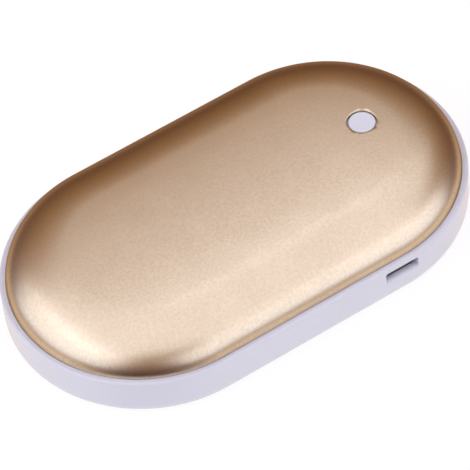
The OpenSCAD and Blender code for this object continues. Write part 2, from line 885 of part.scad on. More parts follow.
module battery_foam_tape() {
    strip_l = tape_strip_share[0] * (cell_l - 2 * cell_tape_w);
    color("white")
    for (side = [-1, 1])
        translate([cell_mid_x, side * tape_strip_y_share * cell_w, case_floor])
            block([strip_l, tape_strip_share[1] * cell_w, foam_tape_t]);
}

module insulation_pad() {
    base_z = cell_z + cell_t + cell_tape_t;
    foam_l = cell_l - foam_inset[0] - foam_inset[1];
    foam_w = cell_w - 2 * foam_side_inset;
    color("lightgray")
    translate([cell_x0 + foam_inset[0] + foam_l / 2, 0, base_z])
        linear_extrude(track_z - pad_gap - base_z) rounded_plan(foam_l, foam_w, cell_edge_r);
}

// A sheet that follows the underside of the crown between two depths below the film's upper face
module crown_sheet(depth, t, half_w) {
    top = [for (i = [-crown_steps : crown_steps]) let (y = half_w * i / crown_steps) [y, film_z(y) - depth]];
    translate([film_x0, 0, 0]) rotate([90, 0, 90]) linear_extrude(film_l)
        polygon(concat(top, [for (p = reversed(top)) [p[0], p[1] - t]]));
}

module heater_film() {
    color("darkorange")
    intersection() {
        crown_sheet(0, film_t, film_w / 2);
        translate([film_x0 + film_l / 2, 0, 0])
            linear_extrude(dome_z + crown_h) rounded_plan(film_l, film_w, film_corner_r);
    }
}

// A straight stretch of track in plan, from one point to another along X or Y
module track_bar(from, to) {
    size = [abs(to[0] - from[0]) + track_w, abs(to[1] - from[1]) + track_w];
    translate((from + to) / 2) square(size, center = true);
}

// One unbroken track that runs to and fro along the film and ends at the two pads of the leads
module heater_track() {
    run_x = [film_x0 + 2 * film_corner_r, film_pad_x - solder_d];
    function run_y(i) = (i - (track_runs - 1) / 2) * track_pitch;
    color("sienna")
    intersection() {
        crown_sheet(film_t, track_t, film_w / 2);
        linear_extrude(dome_z + crown_h) {
            for (i = [0 : track_runs - 1]) track_bar([run_x[0], run_y(i)], [run_x[1], run_y(i)]);
            for (i = [0 : track_runs - 2]) track_bar([run_x[i % 2], run_y(i)], [run_x[i % 2], run_y(i + 1)]);
            for (i = [0, 1]) {
                end_y = run_y(i * (track_runs - 1));
                track_bar([run_x[1], end_y], [film_pad_x, end_y]);
                track_bar([film_pad_x, end_y], [film_pad_x, film_pad_shares[i] * film_w]);
                translate([film_pad_x, film_pad_shares[i] * film_w]) circle(d = solder_d);
            }
        }
    }
}

module thermistor() {
    color("saddlebrown")
    translate([bead_x, bead_y, bead_z]) rotate([0, 90, 0]) cylinder(h = bead_l, d = bead_d, center = true);
}

// Tape that lies on the track and dips round the sensor
module sensor_tape() {
    top_z = bead_z + sensor_half;
    low_z = bead_z - sensor_half;
    slope_y = sensor_half + sensor_patch_edge / 2;
    edge_y = sensor_half + 2 * sensor_patch_edge;
    line = [
        [-edge_y, top_z], [-slope_y, top_z], [-sensor_half, low_z],
        [sensor_half, low_z], [slope_y, top_z], [edge_y, top_z]
    ];
    color("orange")
    translate([bead_x - sensor_patch_l / 2, bead_y, 0]) rotate([90, 0, 90]) linear_extrude(sensor_patch_l)
        polygon(concat(line, [for (p = reversed(line)) [p[0], p[1] - sensor_patch_t]]));
}

// A solder joint, standing on a pad or hanging from one
module solder(place, d, top_d, up = 1) {
    translate(place) rotate([up > 0 ? 0 : 180, 0, 0]) cylinder(h = solder_h, d1 = d, d2 = top_d);
}

// Smooth points through a route, with the ends kept
function spline(route) = [
    for (i = [0 : len(route) - 2], j = [0 : lead_steps - 1])
        let (
            t = j / lead_steps,
            a = route[max(i - 1, 0)], b = route[i], c = route[i + 1],
            d = route[min(i + 2, len(route) - 1)]
        )
        b + (c - a) * t / 2 + (2 * a - 5 * b + 4 * c - d) * t * t / 2
            + (3 * b - a - 3 * c + d) * t * t * t / 2,
    route[len(route) - 1]
];

// Directions across a path, carried along it without twist
function carried(across, dirs, i) = i == len(dirs) ? [] :
    let (n = unit(across - (across * dirs[i]) * dirs[i])) concat([n], carried(n, dirs, i + 1));

// A lead swept along a route, with ends square to the route's first and last stretch
module lead(route, d) {
    path = spline(route);
    last = len(path) - 1;
    dirs = [
        for (i = [0 : last])
            i == 0 ? unit(route[1] - route[0]) :
            i == last ? unit(route[len(route) - 1] - route[len(route) - 2]) :
            unit(path[i + 1] - path[i - 1])
    ];
    across = carried([0, 1, 0], dirs, 0);
    points = [
        for (i = [0 : last], k = [0 : lead_sides - 1])
            let (a = 360 * k / lead_sides)
                path[i] + d / 2 * (cos(a) * across[i] + sin(a) * cross(dirs[i], across[i]))
    ];
    side_faces = [
        for (i = [0 : last - 1], k = [0 : lead_sides - 1], half = [0, 1])
            let (
                a = i * lead_sides + k,
                b = i * lead_sides + (k + 1) % lead_sides,
                c = b + lead_sides,
                e = a + lead_sides
            )
            half == 0 ? [a, c, b] : [a, e, c]
    ];
    start_faces = [for (k = [1 : lead_sides - 2]) [0, k, k + 1]];
    end_base = last * lead_sides;
    end_faces = [for (k = [1 : lead_sides - 2]) [end_base, end_base + k + 1, end_base + k]];
    polyhedron(points, concat(side_faces, start_faces, end_faces));
}

board_top = board_z + solder_h;
guard_top = guard_z + guard_t + solder_h;

// From the protection board up over the rib and down to the board
function battery_route(i) = let (
    from_y = guard_pad_shares[i] * guard_l, to_y = pad_y(battery_pad_shares[i]),
    high = guard_top + 2 * lead_rise
) [
    [guard_x, from_y, guard_top],
    [guard_x, from_y, guard_top + lead_rise],
    [guard_x + lead_rise, from_y, high],
    [(guard_x + pad_x) / 2, (from_y + to_y) / 2, high],
    [pad_x - lead_rise, to_y, high - lead_rise],
    [pad_x, to_y, board_top + 2 * lead_rise],
    [pad_x, to_y, board_top + lead_rise],
    [pad_x, to_y, board_top]
];

// From the underside of the film down to the board, with a little slack
function heater_route(i) = let (
    from_y = film_pad_shares[i] * film_w, y = pad_y(heater_pad_shares[i]),
    top = film_pad_z(from_y) - solder_h
) [
    [film_pad_x, from_y, top],
    [film_pad_x, from_y, top - lead_rise],
    [film_pad_x + lead_rise, from_y, (2 * top + board_top) / 3],
    [film_pad_x, (from_y + y) / 2, (top + board_top) / 2],
    [pad_x, y, board_top + 2 * lead_rise],
    [pad_x, y, board_top + lead_rise],
    [pad_x, y, board_top]
];

// From the end of the sensor along the film and down to the board
function sensor_route(i) = let (
    y = pad_y(sensor_pad_shares[i]), side = i == 0 ? -1 : 1, from_x = bead_x + bead_l / 2,
    from_y = bead_y + side * bead_d / 4
) [
    [from_x, from_y, bead_z],
    [from_x + bead_stub_l, from_y, bead_z],
    [from_x + bead_stub_l + lead_rise, (2 * from_y + y) / 3, bead_z - 2 * bead_d],
    [pad_x + lead_rise, y, (bead_z + board_top) / 2],
    [pad_x, y, board_top + 2 * lead_rise],
    [pad_x, y, board_top + lead_rise],
    [pad_x, y, board_top]
];

// Height of the underside of the heating track beside a film pad
function film_pad_z(y) = film_z(y + solder_d / 2) - film_t - track_t;

module battery_lead_red() {
    color("red") lead(battery_route(0), lead_d);
}

module battery_lead_black() {
    color("black") lead(battery_route(1), lead_d);
}

module heater_leads() {
    color("white") for (i = [0, 1]) lead(heater_route(i), lead_d);
}

module thermistor_leads() {
    color("white") for (i = [0, 1]) lead(sensor_route(i), fine_lead_d);
}

module solder_joints() {
    color("silver") {
        for (i = [0, 1]) {
            film_pad_y = film_pad_shares[i] * film_w;
            solder([guard_x, guard_pad_shares[i] * guard_l, guard_z + guard_t], solder_d, solder_top_d);
            solder([pad_x, pad_y(battery_pad_shares[i]), board_z], solder_d, solder_top_d);
            solder([pad_x, pad_y(heater_pad_shares[i]), board_z], solder_d, solder_top_d);
            solder([film_pad_x, film_pad_y, film_pad_z(film_pad_y)], solder_d, solder_top_d, up = -1);
            solder([pad_x, pad_y(sensor_pad_shares[i]), board_z], fine_solder_d, fine_solder_top_d);
        }
    }
}

bottom_case();
top_cover();
inner_frame();
cover_adhesive();
button_cap();
button_guide();
circuit_board();
switch_base();
switch_cover();
switch_plunger();
switch_snap_dome();
switch_terminals();
usb_shell();
usb_housing();
usb_contacts();
controller_chip();
charger_chip();
power_transistors();
chip_pins();
power_inductor();
capacitors();
resistors();
status_leds();
component_end_caps();
board_screws();
battery_cell();
cell_tabs();
protection_board();
protection_chips();
cell_tape();
battery_foam_tape();
insulation_pad();
heater_film();
heater_track();
thermistor();
sensor_tape();
battery_lead_red();
battery_lead_black();
heater_leads();
thermistor_leads();
solder_joints();
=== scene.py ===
"""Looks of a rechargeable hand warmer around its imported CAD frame.

The cover, the lower case, the button, the socket's shell, the screws, the moving parts of the switch, the cell, the
foam and the leads are modelled here, with rounded edges and real finishes. The other pieces keep their CAD shapes
and get their own finishes. Lengths are in metres, in the frame of the CAD model: the button is towards +X and the
charging slot is on the -Y side.
"""
import json
import logging
import math
from collections.abc import Callable, Iterable, Iterator
from contextlib import contextmanager
from dataclasses import dataclass
from enum import Enum
from typing import Any, ClassVar

import bmesh
import bpy
from bpy.types import Material, Node, NodeSocket, NodeTree, Object
from mathutils import Matrix, Vector


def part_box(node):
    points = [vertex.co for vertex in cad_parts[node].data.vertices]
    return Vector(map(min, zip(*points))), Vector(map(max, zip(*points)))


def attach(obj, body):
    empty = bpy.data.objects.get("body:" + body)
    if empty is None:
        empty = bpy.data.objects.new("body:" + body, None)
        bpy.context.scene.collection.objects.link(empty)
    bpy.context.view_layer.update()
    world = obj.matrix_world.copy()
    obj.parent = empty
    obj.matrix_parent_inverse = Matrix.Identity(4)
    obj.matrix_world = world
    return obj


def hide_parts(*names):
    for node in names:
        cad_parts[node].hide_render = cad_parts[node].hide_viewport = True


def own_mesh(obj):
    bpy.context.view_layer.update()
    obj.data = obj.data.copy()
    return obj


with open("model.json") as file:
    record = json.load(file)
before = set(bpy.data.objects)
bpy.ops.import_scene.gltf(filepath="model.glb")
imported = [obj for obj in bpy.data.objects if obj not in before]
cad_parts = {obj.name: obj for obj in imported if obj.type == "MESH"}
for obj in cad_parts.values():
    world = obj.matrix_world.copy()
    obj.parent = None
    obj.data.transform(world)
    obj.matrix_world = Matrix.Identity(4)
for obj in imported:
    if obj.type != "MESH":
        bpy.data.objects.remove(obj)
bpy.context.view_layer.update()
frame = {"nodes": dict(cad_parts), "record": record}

log = logging.getLogger("hand_warmer")
MM = 0.001
NEAR = 0.001 * MM  # places closer than this count as the same
UPRIGHT = (math.pi / 2, 0, 0)  # turns a flat primitive to face -Y

Colour = tuple[float, float, float, float]
Triple = tuple[float, float, float]
Profile = list[tuple[float, float]]
Test = Callable[[Any], bool]


def linear(hex_code: str) -> Colour:
    """Turn an sRGB hex colour into Blender's linear colour.

    Args:
        hex_code: Six hex digits after a #.

    Returns:
        Red, green, blue and alpha, all from 0 to 1.
    """
    levels = [int(hex_code[i:i + 2], 16) / 255 for i in (1, 3, 5)]
    return (*[v / 12.92 if v <= 0.04045 else ((v + 0.055) / 1.055) ** 2.4 for v in levels], 1.0)


def way_to(turn: float, elevation: float) -> Vector:
    """Work out a direction from the object.

    Args:
        turn: Compass turn from the -Y axis towards +X, in degrees.
        elevation: Angle above the table, in degrees.

    Returns:
        The direction, of length 1.
    """
    a, e = math.radians(turn), math.radians(elevation)
    return Vector((math.cos(e) * math.sin(a), -math.cos(e) * math.cos(a), math.sin(e)))


def add_node(tree: NodeTree, kind: str, inputs: dict[Any, Any] | None = None, **settings: Any) -> Node:
    """Add one shader node with its settings, values and links.

    Args:
        tree: The node tree that takes the node.
        kind: The node's type, such as "ShaderNodeBump".
        inputs: Values or output sockets for the node's inputs, by name or index.
        **settings: Properties of the node itself.

    Returns:
        The new node.
    """
    node = tree.nodes.new(kind)
    for name, value in settings.items():
        setattr(node, name, value)
    for key, value in (inputs or {}).items():
        if isinstance(value, NodeSocket):
            tree.links.new(value, node.inputs[key])
        else:
            node.inputs[key].default_value = value
    return node


def only(piece: Object) -> None:
    """Make one object the only one selected, and the active one.

    Args:
        piece: The object to select.
    """
    bpy.ops.object.select_all(action="DESELECT")
    piece.select_set(True)
    bpy.context.view_layer.objects.active = piece


@contextmanager
def shaping(piece: Object, kind: str = "FACE") -> Iterator[None]:
    """Open a piece in edit mode, with all of it selected, for the length of a with block.

    Args:
        piece: The piece to shape.
        kind: What the operators select: VERT, EDGE or FACE.
    """
    only(piece)
    bpy.ops.object.mode_set(mode="EDIT")
    bpy.ops.mesh.select_mode(type=kind)
    bpy.ops.mesh.select_all(action="SELECT")
    try:
        yield
    finally:
        bpy.ops.object.mode_set(mode="OBJECT")


def pick(piece: Object, parts: str, test: Test) -> None:
    """Select the parts of an edited piece that pass a test, and nothing else.

    Args:
        piece: The piece in edit mode.
        parts: Which elements to look through: verts, edges or faces.
        test: Says whether an element is wanted.
    """
    bpy.ops.mesh.select_all(action="DESELECT")
    mesh = bmesh.from_edit_mesh(piece.data)
    for part in [part for part in getattr(mesh, parts) if test(part)]:
        part.select_set(True)
    mesh.select_flush_mode()
    bmesh.update_edit_mesh(piece.data)


def cap_at(height: float) -> Test:
    """Return a test for the end cap of a form at a height. A cap has more sides than any other face."""
    return lambda face: len(face.verts) > 8 and abs(face.calc_center_median().z - height) < NEAR


def along(axis: int) -> Test:
    """Return a test for edges that run along an axis: 0 for X, 1 for Y and 2 for Z."""
    return lambda edge: abs((edge.verts[0].co - edge.verts[1].co).normalized()[axis]) > 0.999


def across(axis: int) -> Test:
    """Return a test for edges that run square to an axis: 0 for X, 1 for Y and 2 for Z."""
    return lambda edge: abs(edge.verts[0].co[axis] - edge.verts[1].co[axis]) < NEAR


def face_outwards() -> None:
    """Turn all faces of the edited piece outwards."""
    bpy.ops.mesh.select_all(action="SELECT")
    bpy.ops.mesh.normals_make_consistent(inside=False)


def extrude(x: float, y: float, z: float) -> None:
    """Extrude what is selected by a distance along each axis."""
    bpy.ops.mesh.extrude_region_move(TRANSFORM_OT_translate={"value": (x, y, z)})


def apply_modifier(piece: Object, kind: str, **settings: Any) -> None:
    """Add a modifier to a piece and apply it.

    Args:
        piece: The piece to change.
        kind: The modifier's type, such as "BOOLEAN".
        **settings: The modifier's properties.
    """
    only(piece)
    modifier = piece.modifiers.new(kind.title(), kind)
    for name, value in settings.items():
        setattr(modifier, name, value)
    bpy.ops.object.modifier_apply(modifier=modifier.name)


def settle(piece: Object) -> None:
    """Put a piece's place, turn and scale into its mesh, so that its object sits at the origin."""
    only(piece)
    bpy.ops.object.transform_apply(location=True, rotation=True, scale=True)


def start(name: str, primitive: Callable[..., Any], scale: Iterable[float] = (1, 1, 1), **options: Any) -> Object:
    """Add the primitive that a piece starts from, with its place, turn and scale in its mesh.

    Args:
        name: The piece's name.
        primitive: The operator that adds it.
        scale: What its size is multiplied by along each axis.
        **options: The operator's own options.

    Returns:
        The new piece.
    """
    bpy.ops.object.select_all(action="DESELECT")
    primitive(**options)
    piece = bpy.context.object
    piece.name = piece.data.name = name
    piece.scale = scale
    settle(piece)
    return piece


def new_disc(name: str, radius: float, place: Triple, sides: int) -> Object:
    """Add a filled circle that faces up, the start of each turned form.

    Its first corner is half a side off the X axis, so that the circle can be pulled apart evenly at x = 0.

    Args:
        name: The piece's name.
        radius: Distance from the middle to the flat of each side.
        place: The middle of the circle.
        sides: Number of sides, a multiple of four.

    Returns:
        The new piece.
    """
    half = math.pi / sides
    return start(
        name, bpy.ops.mesh.primitive_circle_add, vertices=sides, radius=radius / math.cos(half), fill_type="NGON",
        location=place, rotation=(0, 0, half),
    )


def new_block(name: str, low: Vector, high: Vector) -> Object:
    """Add a box between its lowest and its highest corner, the start of each piece with straight sides."""
    return start(name, bpy.ops.mesh.primitive_cube_add, high - low, size=1, location=(low + high) / 2)


def arc(centre: tuple[float, float], radius: float, first: float, last: float, count: int) -> Profile:
    """List the points of an arc in a profile.

    Args:
        centre: Middle of the arc, as distance from the spine and height.
        radius: Radius of the arc.
        first: First angle, in degrees.
        last: Last angle, in degrees.
        count: Number of steps.

    Returns:
        The points, from the first angle to the last.
    """
    turns = [math.radians(first + (last - first) * i / count) for i in range(count + 1)]
    return [(centre[0] + radius * math.cos(a), centre[1] + radius * math.sin(a)) for a in turns]


def follow(profile: Profile, up: float = 1) -> None:
    """Carry the selected cap along a profile, leaving a wall behind it.

    A level or sloping step insets the cap and an upright one extrudes it.

    Args:
        profile: Distance from the spine and height of each point, from outside in.
        up: 1 for a cap that faces up, and -1 for one that faces down.
    """
    for (r, z), (next_r, next_z) in zip(profile, profile[1:]):
        inwards, onwards = r - next_r, (next_z - z) * up
        if inwards > NEAR:
            bpy.ops.mesh.inset(thickness=inwards, depth=onwards, use_boundary=True, use_even_offset=True)
        else:
            bpy.ops.mesh.extrude_region_shrink_fatten(
                TRANSFORM_OT_shrink_fatten={"value": onwards, "use_even_offset": False}
            )


def turned(name: str, profile: Profile, sides: int, x: float = 0.0) -> Object:
    """Make a closed turned form by raising a disc ring by ring.

    Args:
        name: The piece's name.
        profile: Radius and height of each ring, from the first cap to the last.
        sides: Number of sides, a multiple of four.
        x: Where the upright axis stands on the X axis.

    Returns:
        The new piece.
    """
    piece = new_disc(name, profile[0][0], (x, 0, profile[0][1]), sides)
    with shaping(piece):
        for (radius, height), (next_radius, next_height) in zip(profile, profile[1:]):
            extrude(0, 0, next_height - height)
            grow = next_radius / radius
            bpy.ops.transform.resize(value=(grow, grow, 1), center_override=(x, 0, 0))
        face_outwards()
    return piece


def make_sheet(piece: Object, opening: Test, thickness: float, offset: int) -> None:
    """Open a closed form and give the skin that is left its thickness.

    Args:
        piece: The piece to open.
        opening: Says which faces are taken away.
        thickness: Thickness of the sheet.
        offset: -1 where the skin is the sheet's outside, and 1 where it is its inside.
    """
    with shaping(piece):
        pick(piece, "faces", opening)
        bpy.ops.mesh.delete(type="ONLY_FACE")
    apply_modifier(piece, "SOLIDIFY", thickness=thickness, offset=offset, use_even_offset=True)


def round_corners(piece: Object, radius: float, segments: int) -> None:
    """Round all corners of a flat outline.

    Args:
        piece: The piece to shape.
        radius: Radius of the rounding.
        segments: Number of sides across it.
    """
    with shaping(piece, "VERT"):
        bpy.ops.mesh.bevel(offset=radius, segments=segments, affect="VERTICES")


def round_edges(piece: Object, radius: float, segments: int, test: Test) -> None:
    """Round the edges of a piece that pass a test.

    Args:
        piece: The piece to shape.
        radius: Radius of the rounding.
        segments: Number of faces across it.
        test: Says whether an edge is rounded.
    """
    with shaping(piece, "EDGE"):
        pick(piece, "edges", test)
        bpy.ops.mesh.bevel(offset=radius, offset_type="OFFSET", segments=segments, affect="EDGES")


def combine(piece: Object, other: Object, operation: str = "DIFFERENCE") -> None:
    """Cut a closed form out of a piece, or fuse it on with UNION, and remove the form."""
    apply_modifier(piece, "BOOLEAN", operation=operation, object=other, solver="EXACT")
    bpy.data.objects.remove(other, do_unlink=True)


def join(piece: Object, others: list[Object]) -> None:
    """Join other objects into a piece.

    Args:
        piece: The piece that keeps its name.
        others: The objects that go into it.
    """
    only(piece)
    for other in others:
        other.select_set(True)
    bpy.ops.object.join()


def copies(piece: Object, name: str, places: Iterable[Matrix]) -> Object:
    """Copy a piece to each of its places, each copy with its own mesh, and join the copies.

    Args:
        piece: The piece to copy, which is removed.
        name: Name of the joined copies.
        places: Each copy's place and turn, counted from the piece.

    Returns:
        The copies, as one piece.
    """
    twins = []
    for place in places:
        only(piece)
        bpy.ops.object.duplicate(linked=False)
        twins.append(bpy.context.object)
        twins[-1].matrix_world = place
        settle(twins[-1])
    bpy.data.objects.remove(piece, do_unlink=True)
    join(twins[0], twins[1:])
    twins[0].name = twins[0].data.name = name
    return twins[0]


@dataclass(frozen=True)
class Surface:
    """A material while its nodes are laid: its finish, its tree and shader, and object coordinates in metres."""

    finish: "Finish"
    tree: NodeTree
    shader: Node
    place: NodeSocket

    def hold(self, values: dict[str, Any]) -> None:
        """Set constants on the shader's sockets, by their names."""
        for name, value in values.items():
            self.shader.inputs[name].default_value = value

    def tint(self, pattern: NodeSocket, other: str) -> None:
        """Let the finish's colour go over to another where a pattern is high.

        Args:
            pattern: The pattern, from 0 to 1.
            other: The other colour, in hex.
        """
        mixed = add_node(
            self.tree, "ShaderNodeMix", {"Factor": pattern, 6: linear(self.finish.colour), 7: linear(other)},
            data_type="RGBA",
        )
        self.tree.links.new(mixed.outputs[2], self.shader.inputs["Base Color"])

    def mottle(self, other: str, size: float, most: float) -> None:
        """Let the colour drift softly towards a second tone.

        Args:
            other: The second tone, in hex.
            size: Size of the drifting patches, in metres.
            most: How far the patches go towards the second tone, from 0 to 1.
        """
        noise = add_node(self.tree, "ShaderNodeTexNoise", {"Vector": self.place, "Scale": 1 / size, "Detail": 3.0})
        # most of a noise lies between these two levels
        drift = {"Value": noise.outputs["Fac"], "From Min": 0.32, "From Max": 0.68, "To Max": most}
        self.tint(add_node(self.tree, "ShaderNodeMapRange", drift).outputs["Result"], other)

    def emboss(self, pattern: NodeSocket, height: float, strength: float = 1.0, invert: bool = False) -> None:
        """Raise a pattern on the surface.

        Args:
            pattern: The pattern, from 0 to 1.
            height: How high it stands, in metres.
            strength: How much of it shows, from 0 to 1.
            invert: Whether it is sunk in instead.
        """
        relief = {"Height": pattern, "Strength": strength, "Distance": height}
        bump = add_node(self.tree, "ShaderNodeBump", relief, invert=invert)
        self.tree.links.new(bump.outputs["Normal"], self.shader.inputs["Normal"])

    def grain(
        self, size: float, height: float, sheen: float, detail: float = 2.0, stretch: Triple = (1.0, 1.0, 1.0)
    ) -> NodeSocket:
        """Raise a fine grain on the surface, and let the roughness follow it.

        Args:
            size: Size of one grain, in metres.
            height: Height of the grain, in metres.
            sheen: How far the roughness goes either way from the finish's own.
            detail: Number of finer layers on the grain.
            stretch: How much closer the grain lies along X, Y and Z, on a rolled or drawn surface.

        Returns:
            The grain, from 0 to 1.
        """
        mapped = add_node(self.tree, "ShaderNodeMapping", {"Vector": self.place, "Scale": stretch})
        layout = {"Vector": mapped.outputs["Vector"], "Scale": 1 / size, "Detail": detail}
        noise = add_node(self.tree, "ShaderNodeTexNoise", layout)
        grain, middle = noise.outputs["Fac"], self.finish.roughness
        self.emboss(grain, height)
        follows = {
            "Value": grain, "From Min": 0.3, "From Max": 0.7, "To Min": middle - sheen, "To Max": middle + sheen,
        }
        level = add_node(self.tree, "ShaderNodeMapRange", follows)
        self.tree.links.new(level.outputs["Result"], self.shader.inputs["Roughness"])
        return grain


@dataclass(frozen=True)
class Finish:
    """What a surface is made of and how it was worked. Each kind of finish paints its own nodes."""

    name: str
    colour: str
    roughness: float

    def paint(self, surface: Surface) -> None:
        """Lay the nodes of this kind of finish.

        Args:
            surface: The material's surface.
        """

    def material(self) -> Material:
        """Make the finish's material, the first time that it is asked for.

        Returns:
            The material.
        """
        known = bpy.data.materials.get(self.name)
        if known is not None:
            return known
        material = bpy.data.materials.new(self.name)
        material.use_nodes = True
        tree = material.node_tree
        place = add_node(tree, "ShaderNodeTexCoord").outputs["Object"]
        surface = Surface(self, tree, tree.nodes["Principled BSDF"], place)
        surface.hold({"Base Color": linear(self.colour), "Roughness": self.roughness})
        self.paint(surface)
        return material


@dataclass(frozen=True)
class BlastedAnodised(Finish):
    """Aluminium, bead-blasted and then anodised: a soft metallic glow with a fine sparkle of blasted pits."""

    edge_tint: str = "#8A6440"
    tone: str = "#E0D2B8"
    # real pits are 0.05 mm across, too fine for the picture, so they are drawn as coarse as they show
    pit: float = 0.6 * MM
    pit_depth: float = 0.006 * MM
    drift: float = 9.0 * MM
    drift_share: float = 0.35

    def paint(self, surface: Surface) -> None:
        """Add the blasted pits and the dye's slight drift. See Finish.paint."""
        surface.hold({"Metallic": 1.0, "Specular Tint": linear(self.edge_tint)})
        pits = surface.grain(self.pit, self.pit_depth, sheen=0.02)
        tree = surface.tree
        layout = {"Vector": surface.place, "Scale": 1 / self.drift, "Detail": 1.0}
        slow = add_node(tree, "ShaderNodeTexNoise", layout)
        terms = {0: slow.outputs["Fac"], 1: self.drift_share, 2: pits}
        both = add_node(tree, "ShaderNodeMath", terms, operation="MULTIPLY_ADD").outputs["Value"]
        level = add_node(tree, "ShaderNodeMapRange", {"Value": both, "From Min": 0.35, "From Max": 1.0})
        surface.tint(level.outputs["Result"], self.tone)


@dataclass(frozen=True)
class MouldedPlastic(Finish):
    """Injection-moulded plastic: an even colour under a skin that copies the mould, from polished to spark-eroded."""

    tone: str = "#FFFFFF"
    # a polished mould leaves slow waves; an etched or eroded one leaves a finer grain, which is drawn coarser
    skin: float = 1.6 * MM
    skin_height: float = 0.002 * MM
    drift: float = 22 * MM
    translucency: float = 0.0
    light_reach: float = 0.8 * MM

    def paint(self, surface: Surface) -> None:
        """Add the mould's skin, the faint drift of the melt and the light that sinks in. See Finish.paint."""
        surface.hold({
            "IOR": 1.52, "Subsurface Weight": self.translucency, "Subsurface Radius": (1.0, 1.0, 1.0),
            "Subsurface Scale": self.light_reach,
        })
        surface.mottle(self.tone, self.drift, most=0.5)
        surface.grain(self.skin, self.skin_height, sheen=0.03)


@dataclass(frozen=True)
class PlatedMetal(Finish):
    """Plated or rolled sheet metal: metallic, with faint lines along the way that it was rolled or drawn."""

    tone: str = "#B8B8B8"
    tarnish: float = 2.5 * MM
    # real lines lie a few hundredths of a millimetre apart, too fine for the picture, so they are drawn coarser
    line: float = 0.3 * MM
    line_height: float = 0.001 * MM
    stretch: Triple = (0.15, 1.0, 1.0)

    def paint(self, surface: Surface) -> None:
        """Add the rolling lines and a slight tarnish. See Finish.paint."""
        surface.hold({"Metallic": 1.0})
        surface.mottle(self.tone, self.tarnish, most=0.6)
        surface.grain(self.line, self.line_height, sheen=0.08, detail=3.0, stretch=self.stretch)


@dataclass(frozen=True)
class FiredBody(Finish):
    """Ceramic, ferrite or moulded resin: matt, finely speckled and slightly grainy."""

    speck: str = "#000000"
    # real grains are a few hundredths of a millimetre across, so these are drawn coarser too
    grain_size: float = 0.12 * MM
    grain_height: float = 0.003 * MM

    def paint(self, surface: Surface) -> None:
        """Add the specks, each three grains across, and the grain. See Finish.paint."""
        surface.hold({"IOR": 1.55})
        surface.mottle(self.speck, 3 * self.grain_size, most=0.7)
        surface.grain(self.grain_size, self.grain_height, sheen=0.06)


@dataclass(frozen=True)
class BoardLaminate(Finish):
    """Glass laminate under solder mask: the weave shows faintly, and copper tracks lie raised under the mask."""

    copper: str = "#3E7A3A"
    weave: float = 0.5 * MM
    track: float = 2.2 * MM
    relief: float = 0.015 * MM

    def paint(self, surface: Surface) -> None:
        """Add the tracks, as the joints of a brick pattern, and the weave. See Finish.paint."""
        surface.hold({"IOR": 1.5, "Coat Weight": 0.4})
        layout = {
            "Vector": surface.place, "Scale": 1 / self.track, "Mortar Size": 0.16, "Mortar Smooth": 0.1,
            "Brick Width": 2.3, "Row Height": 0.8,
        }
        bricks = add_node(
            surface.tree, "ShaderNodeTexBrick", layout, offset_frequency=3, squash_frequency=2, squash=0.6
        )
        surface.tint(bricks.outputs["Fac"], self.copper)
        # a wave repeats about every 0.16 of its scale
        threads = {"Vector": surface.place, "Scale": 0.16 / self.weave, "Distortion": 0.4, "Detail": 1.0}
        weave = add_node(surface.tree, "ShaderNodeTexWave", threads, bands_direction="DIAGONAL")
        terms = {0: weave.outputs["Fac"], 1: bricks.outputs["Fac"]}
        raised = add_node(surface.tree, "ShaderNodeMath", terms, operation="ADD")
        surface.emboss(raised.outputs["Value"], self.relief)


@dataclass(frozen=True)
class ClearFilm(Finish):
    """Thin plastic film or a clear resin: glossy, and what is under it shows through."""

    clear: float = 0.35
    ripple: float = 4 * MM
    ripple_height: float = 0.03 * MM

    def paint(self, surface: Surface) -> None:
        """Let light through and add slight ripples. See Finish.paint."""
        surface.hold({"IOR": 1.6, "Transmission Weight": self.clear})
        surface.grain(self.ripple, self.ripple_height, sheen=0.05, detail=1.0)


@dataclass(frozen=True)
class PouchFoil(Finish):
    """Aluminium laminate of a pouch cell: satin metal under nylon, with soft creases where it was drawn."""

    crease: float = 9 * MM
    crease_height: float = 0.12 * MM

    def paint(self, surface: Surface) -> None:
        """Add the nylon and the creases. See Finish.paint."""
        surface.hold({"Metallic": 0.85, "Coat Weight": 0.3, "Coat Roughness": 0.25})
        surface.grain(self.crease, self.crease_height, sheen=0.07, detail=4.0)


@dataclass(frozen=True)
class FoamedPlastic(Finish):
    """Foam, as a block or as a tape: matt, with the cut cells of the foam open at its surface."""

    cell: float = 0.45 * MM
    cell_depth: float = 0.3  # as a share of the cell's size
    shadow: str = "#202020"

    def paint(self, surface: Surface) -> None:
        """Add the cells, darker and sunk in between their walls. See Finish.paint."""
        surface.hold({"Specular IOR Level": 0.2})
        layout = {"Vector": surface.place, "Scale": 1 / self.cell}
        cells = add_node(surface.tree, "ShaderNodeTexVoronoi", layout, feature="F1").outputs["Distance"]
        surface.tint(cells, self.shadow)
        surface.emboss(cells, self.cell * self.cell_depth, strength=0.8, invert=True)


@dataclass(frozen=True)
class MatFloor(Finish):
    """The sweep under the object: white board, lit from below as well, so that shadows on it stay faint."""

    glow: float = 0.72

    def paint(self, surface: Surface) -> None:
        """Take the gloss away and add the light from below. See Finish.paint."""
        surface.hold({
            "Specular IOR Level": 0.0, "Emission Color": linear("#FFFFFF"), "Emission Strength": self.glow,
        })


FLOOR = MatFloor("white_sweep", "#A0A0A0", 1.0)

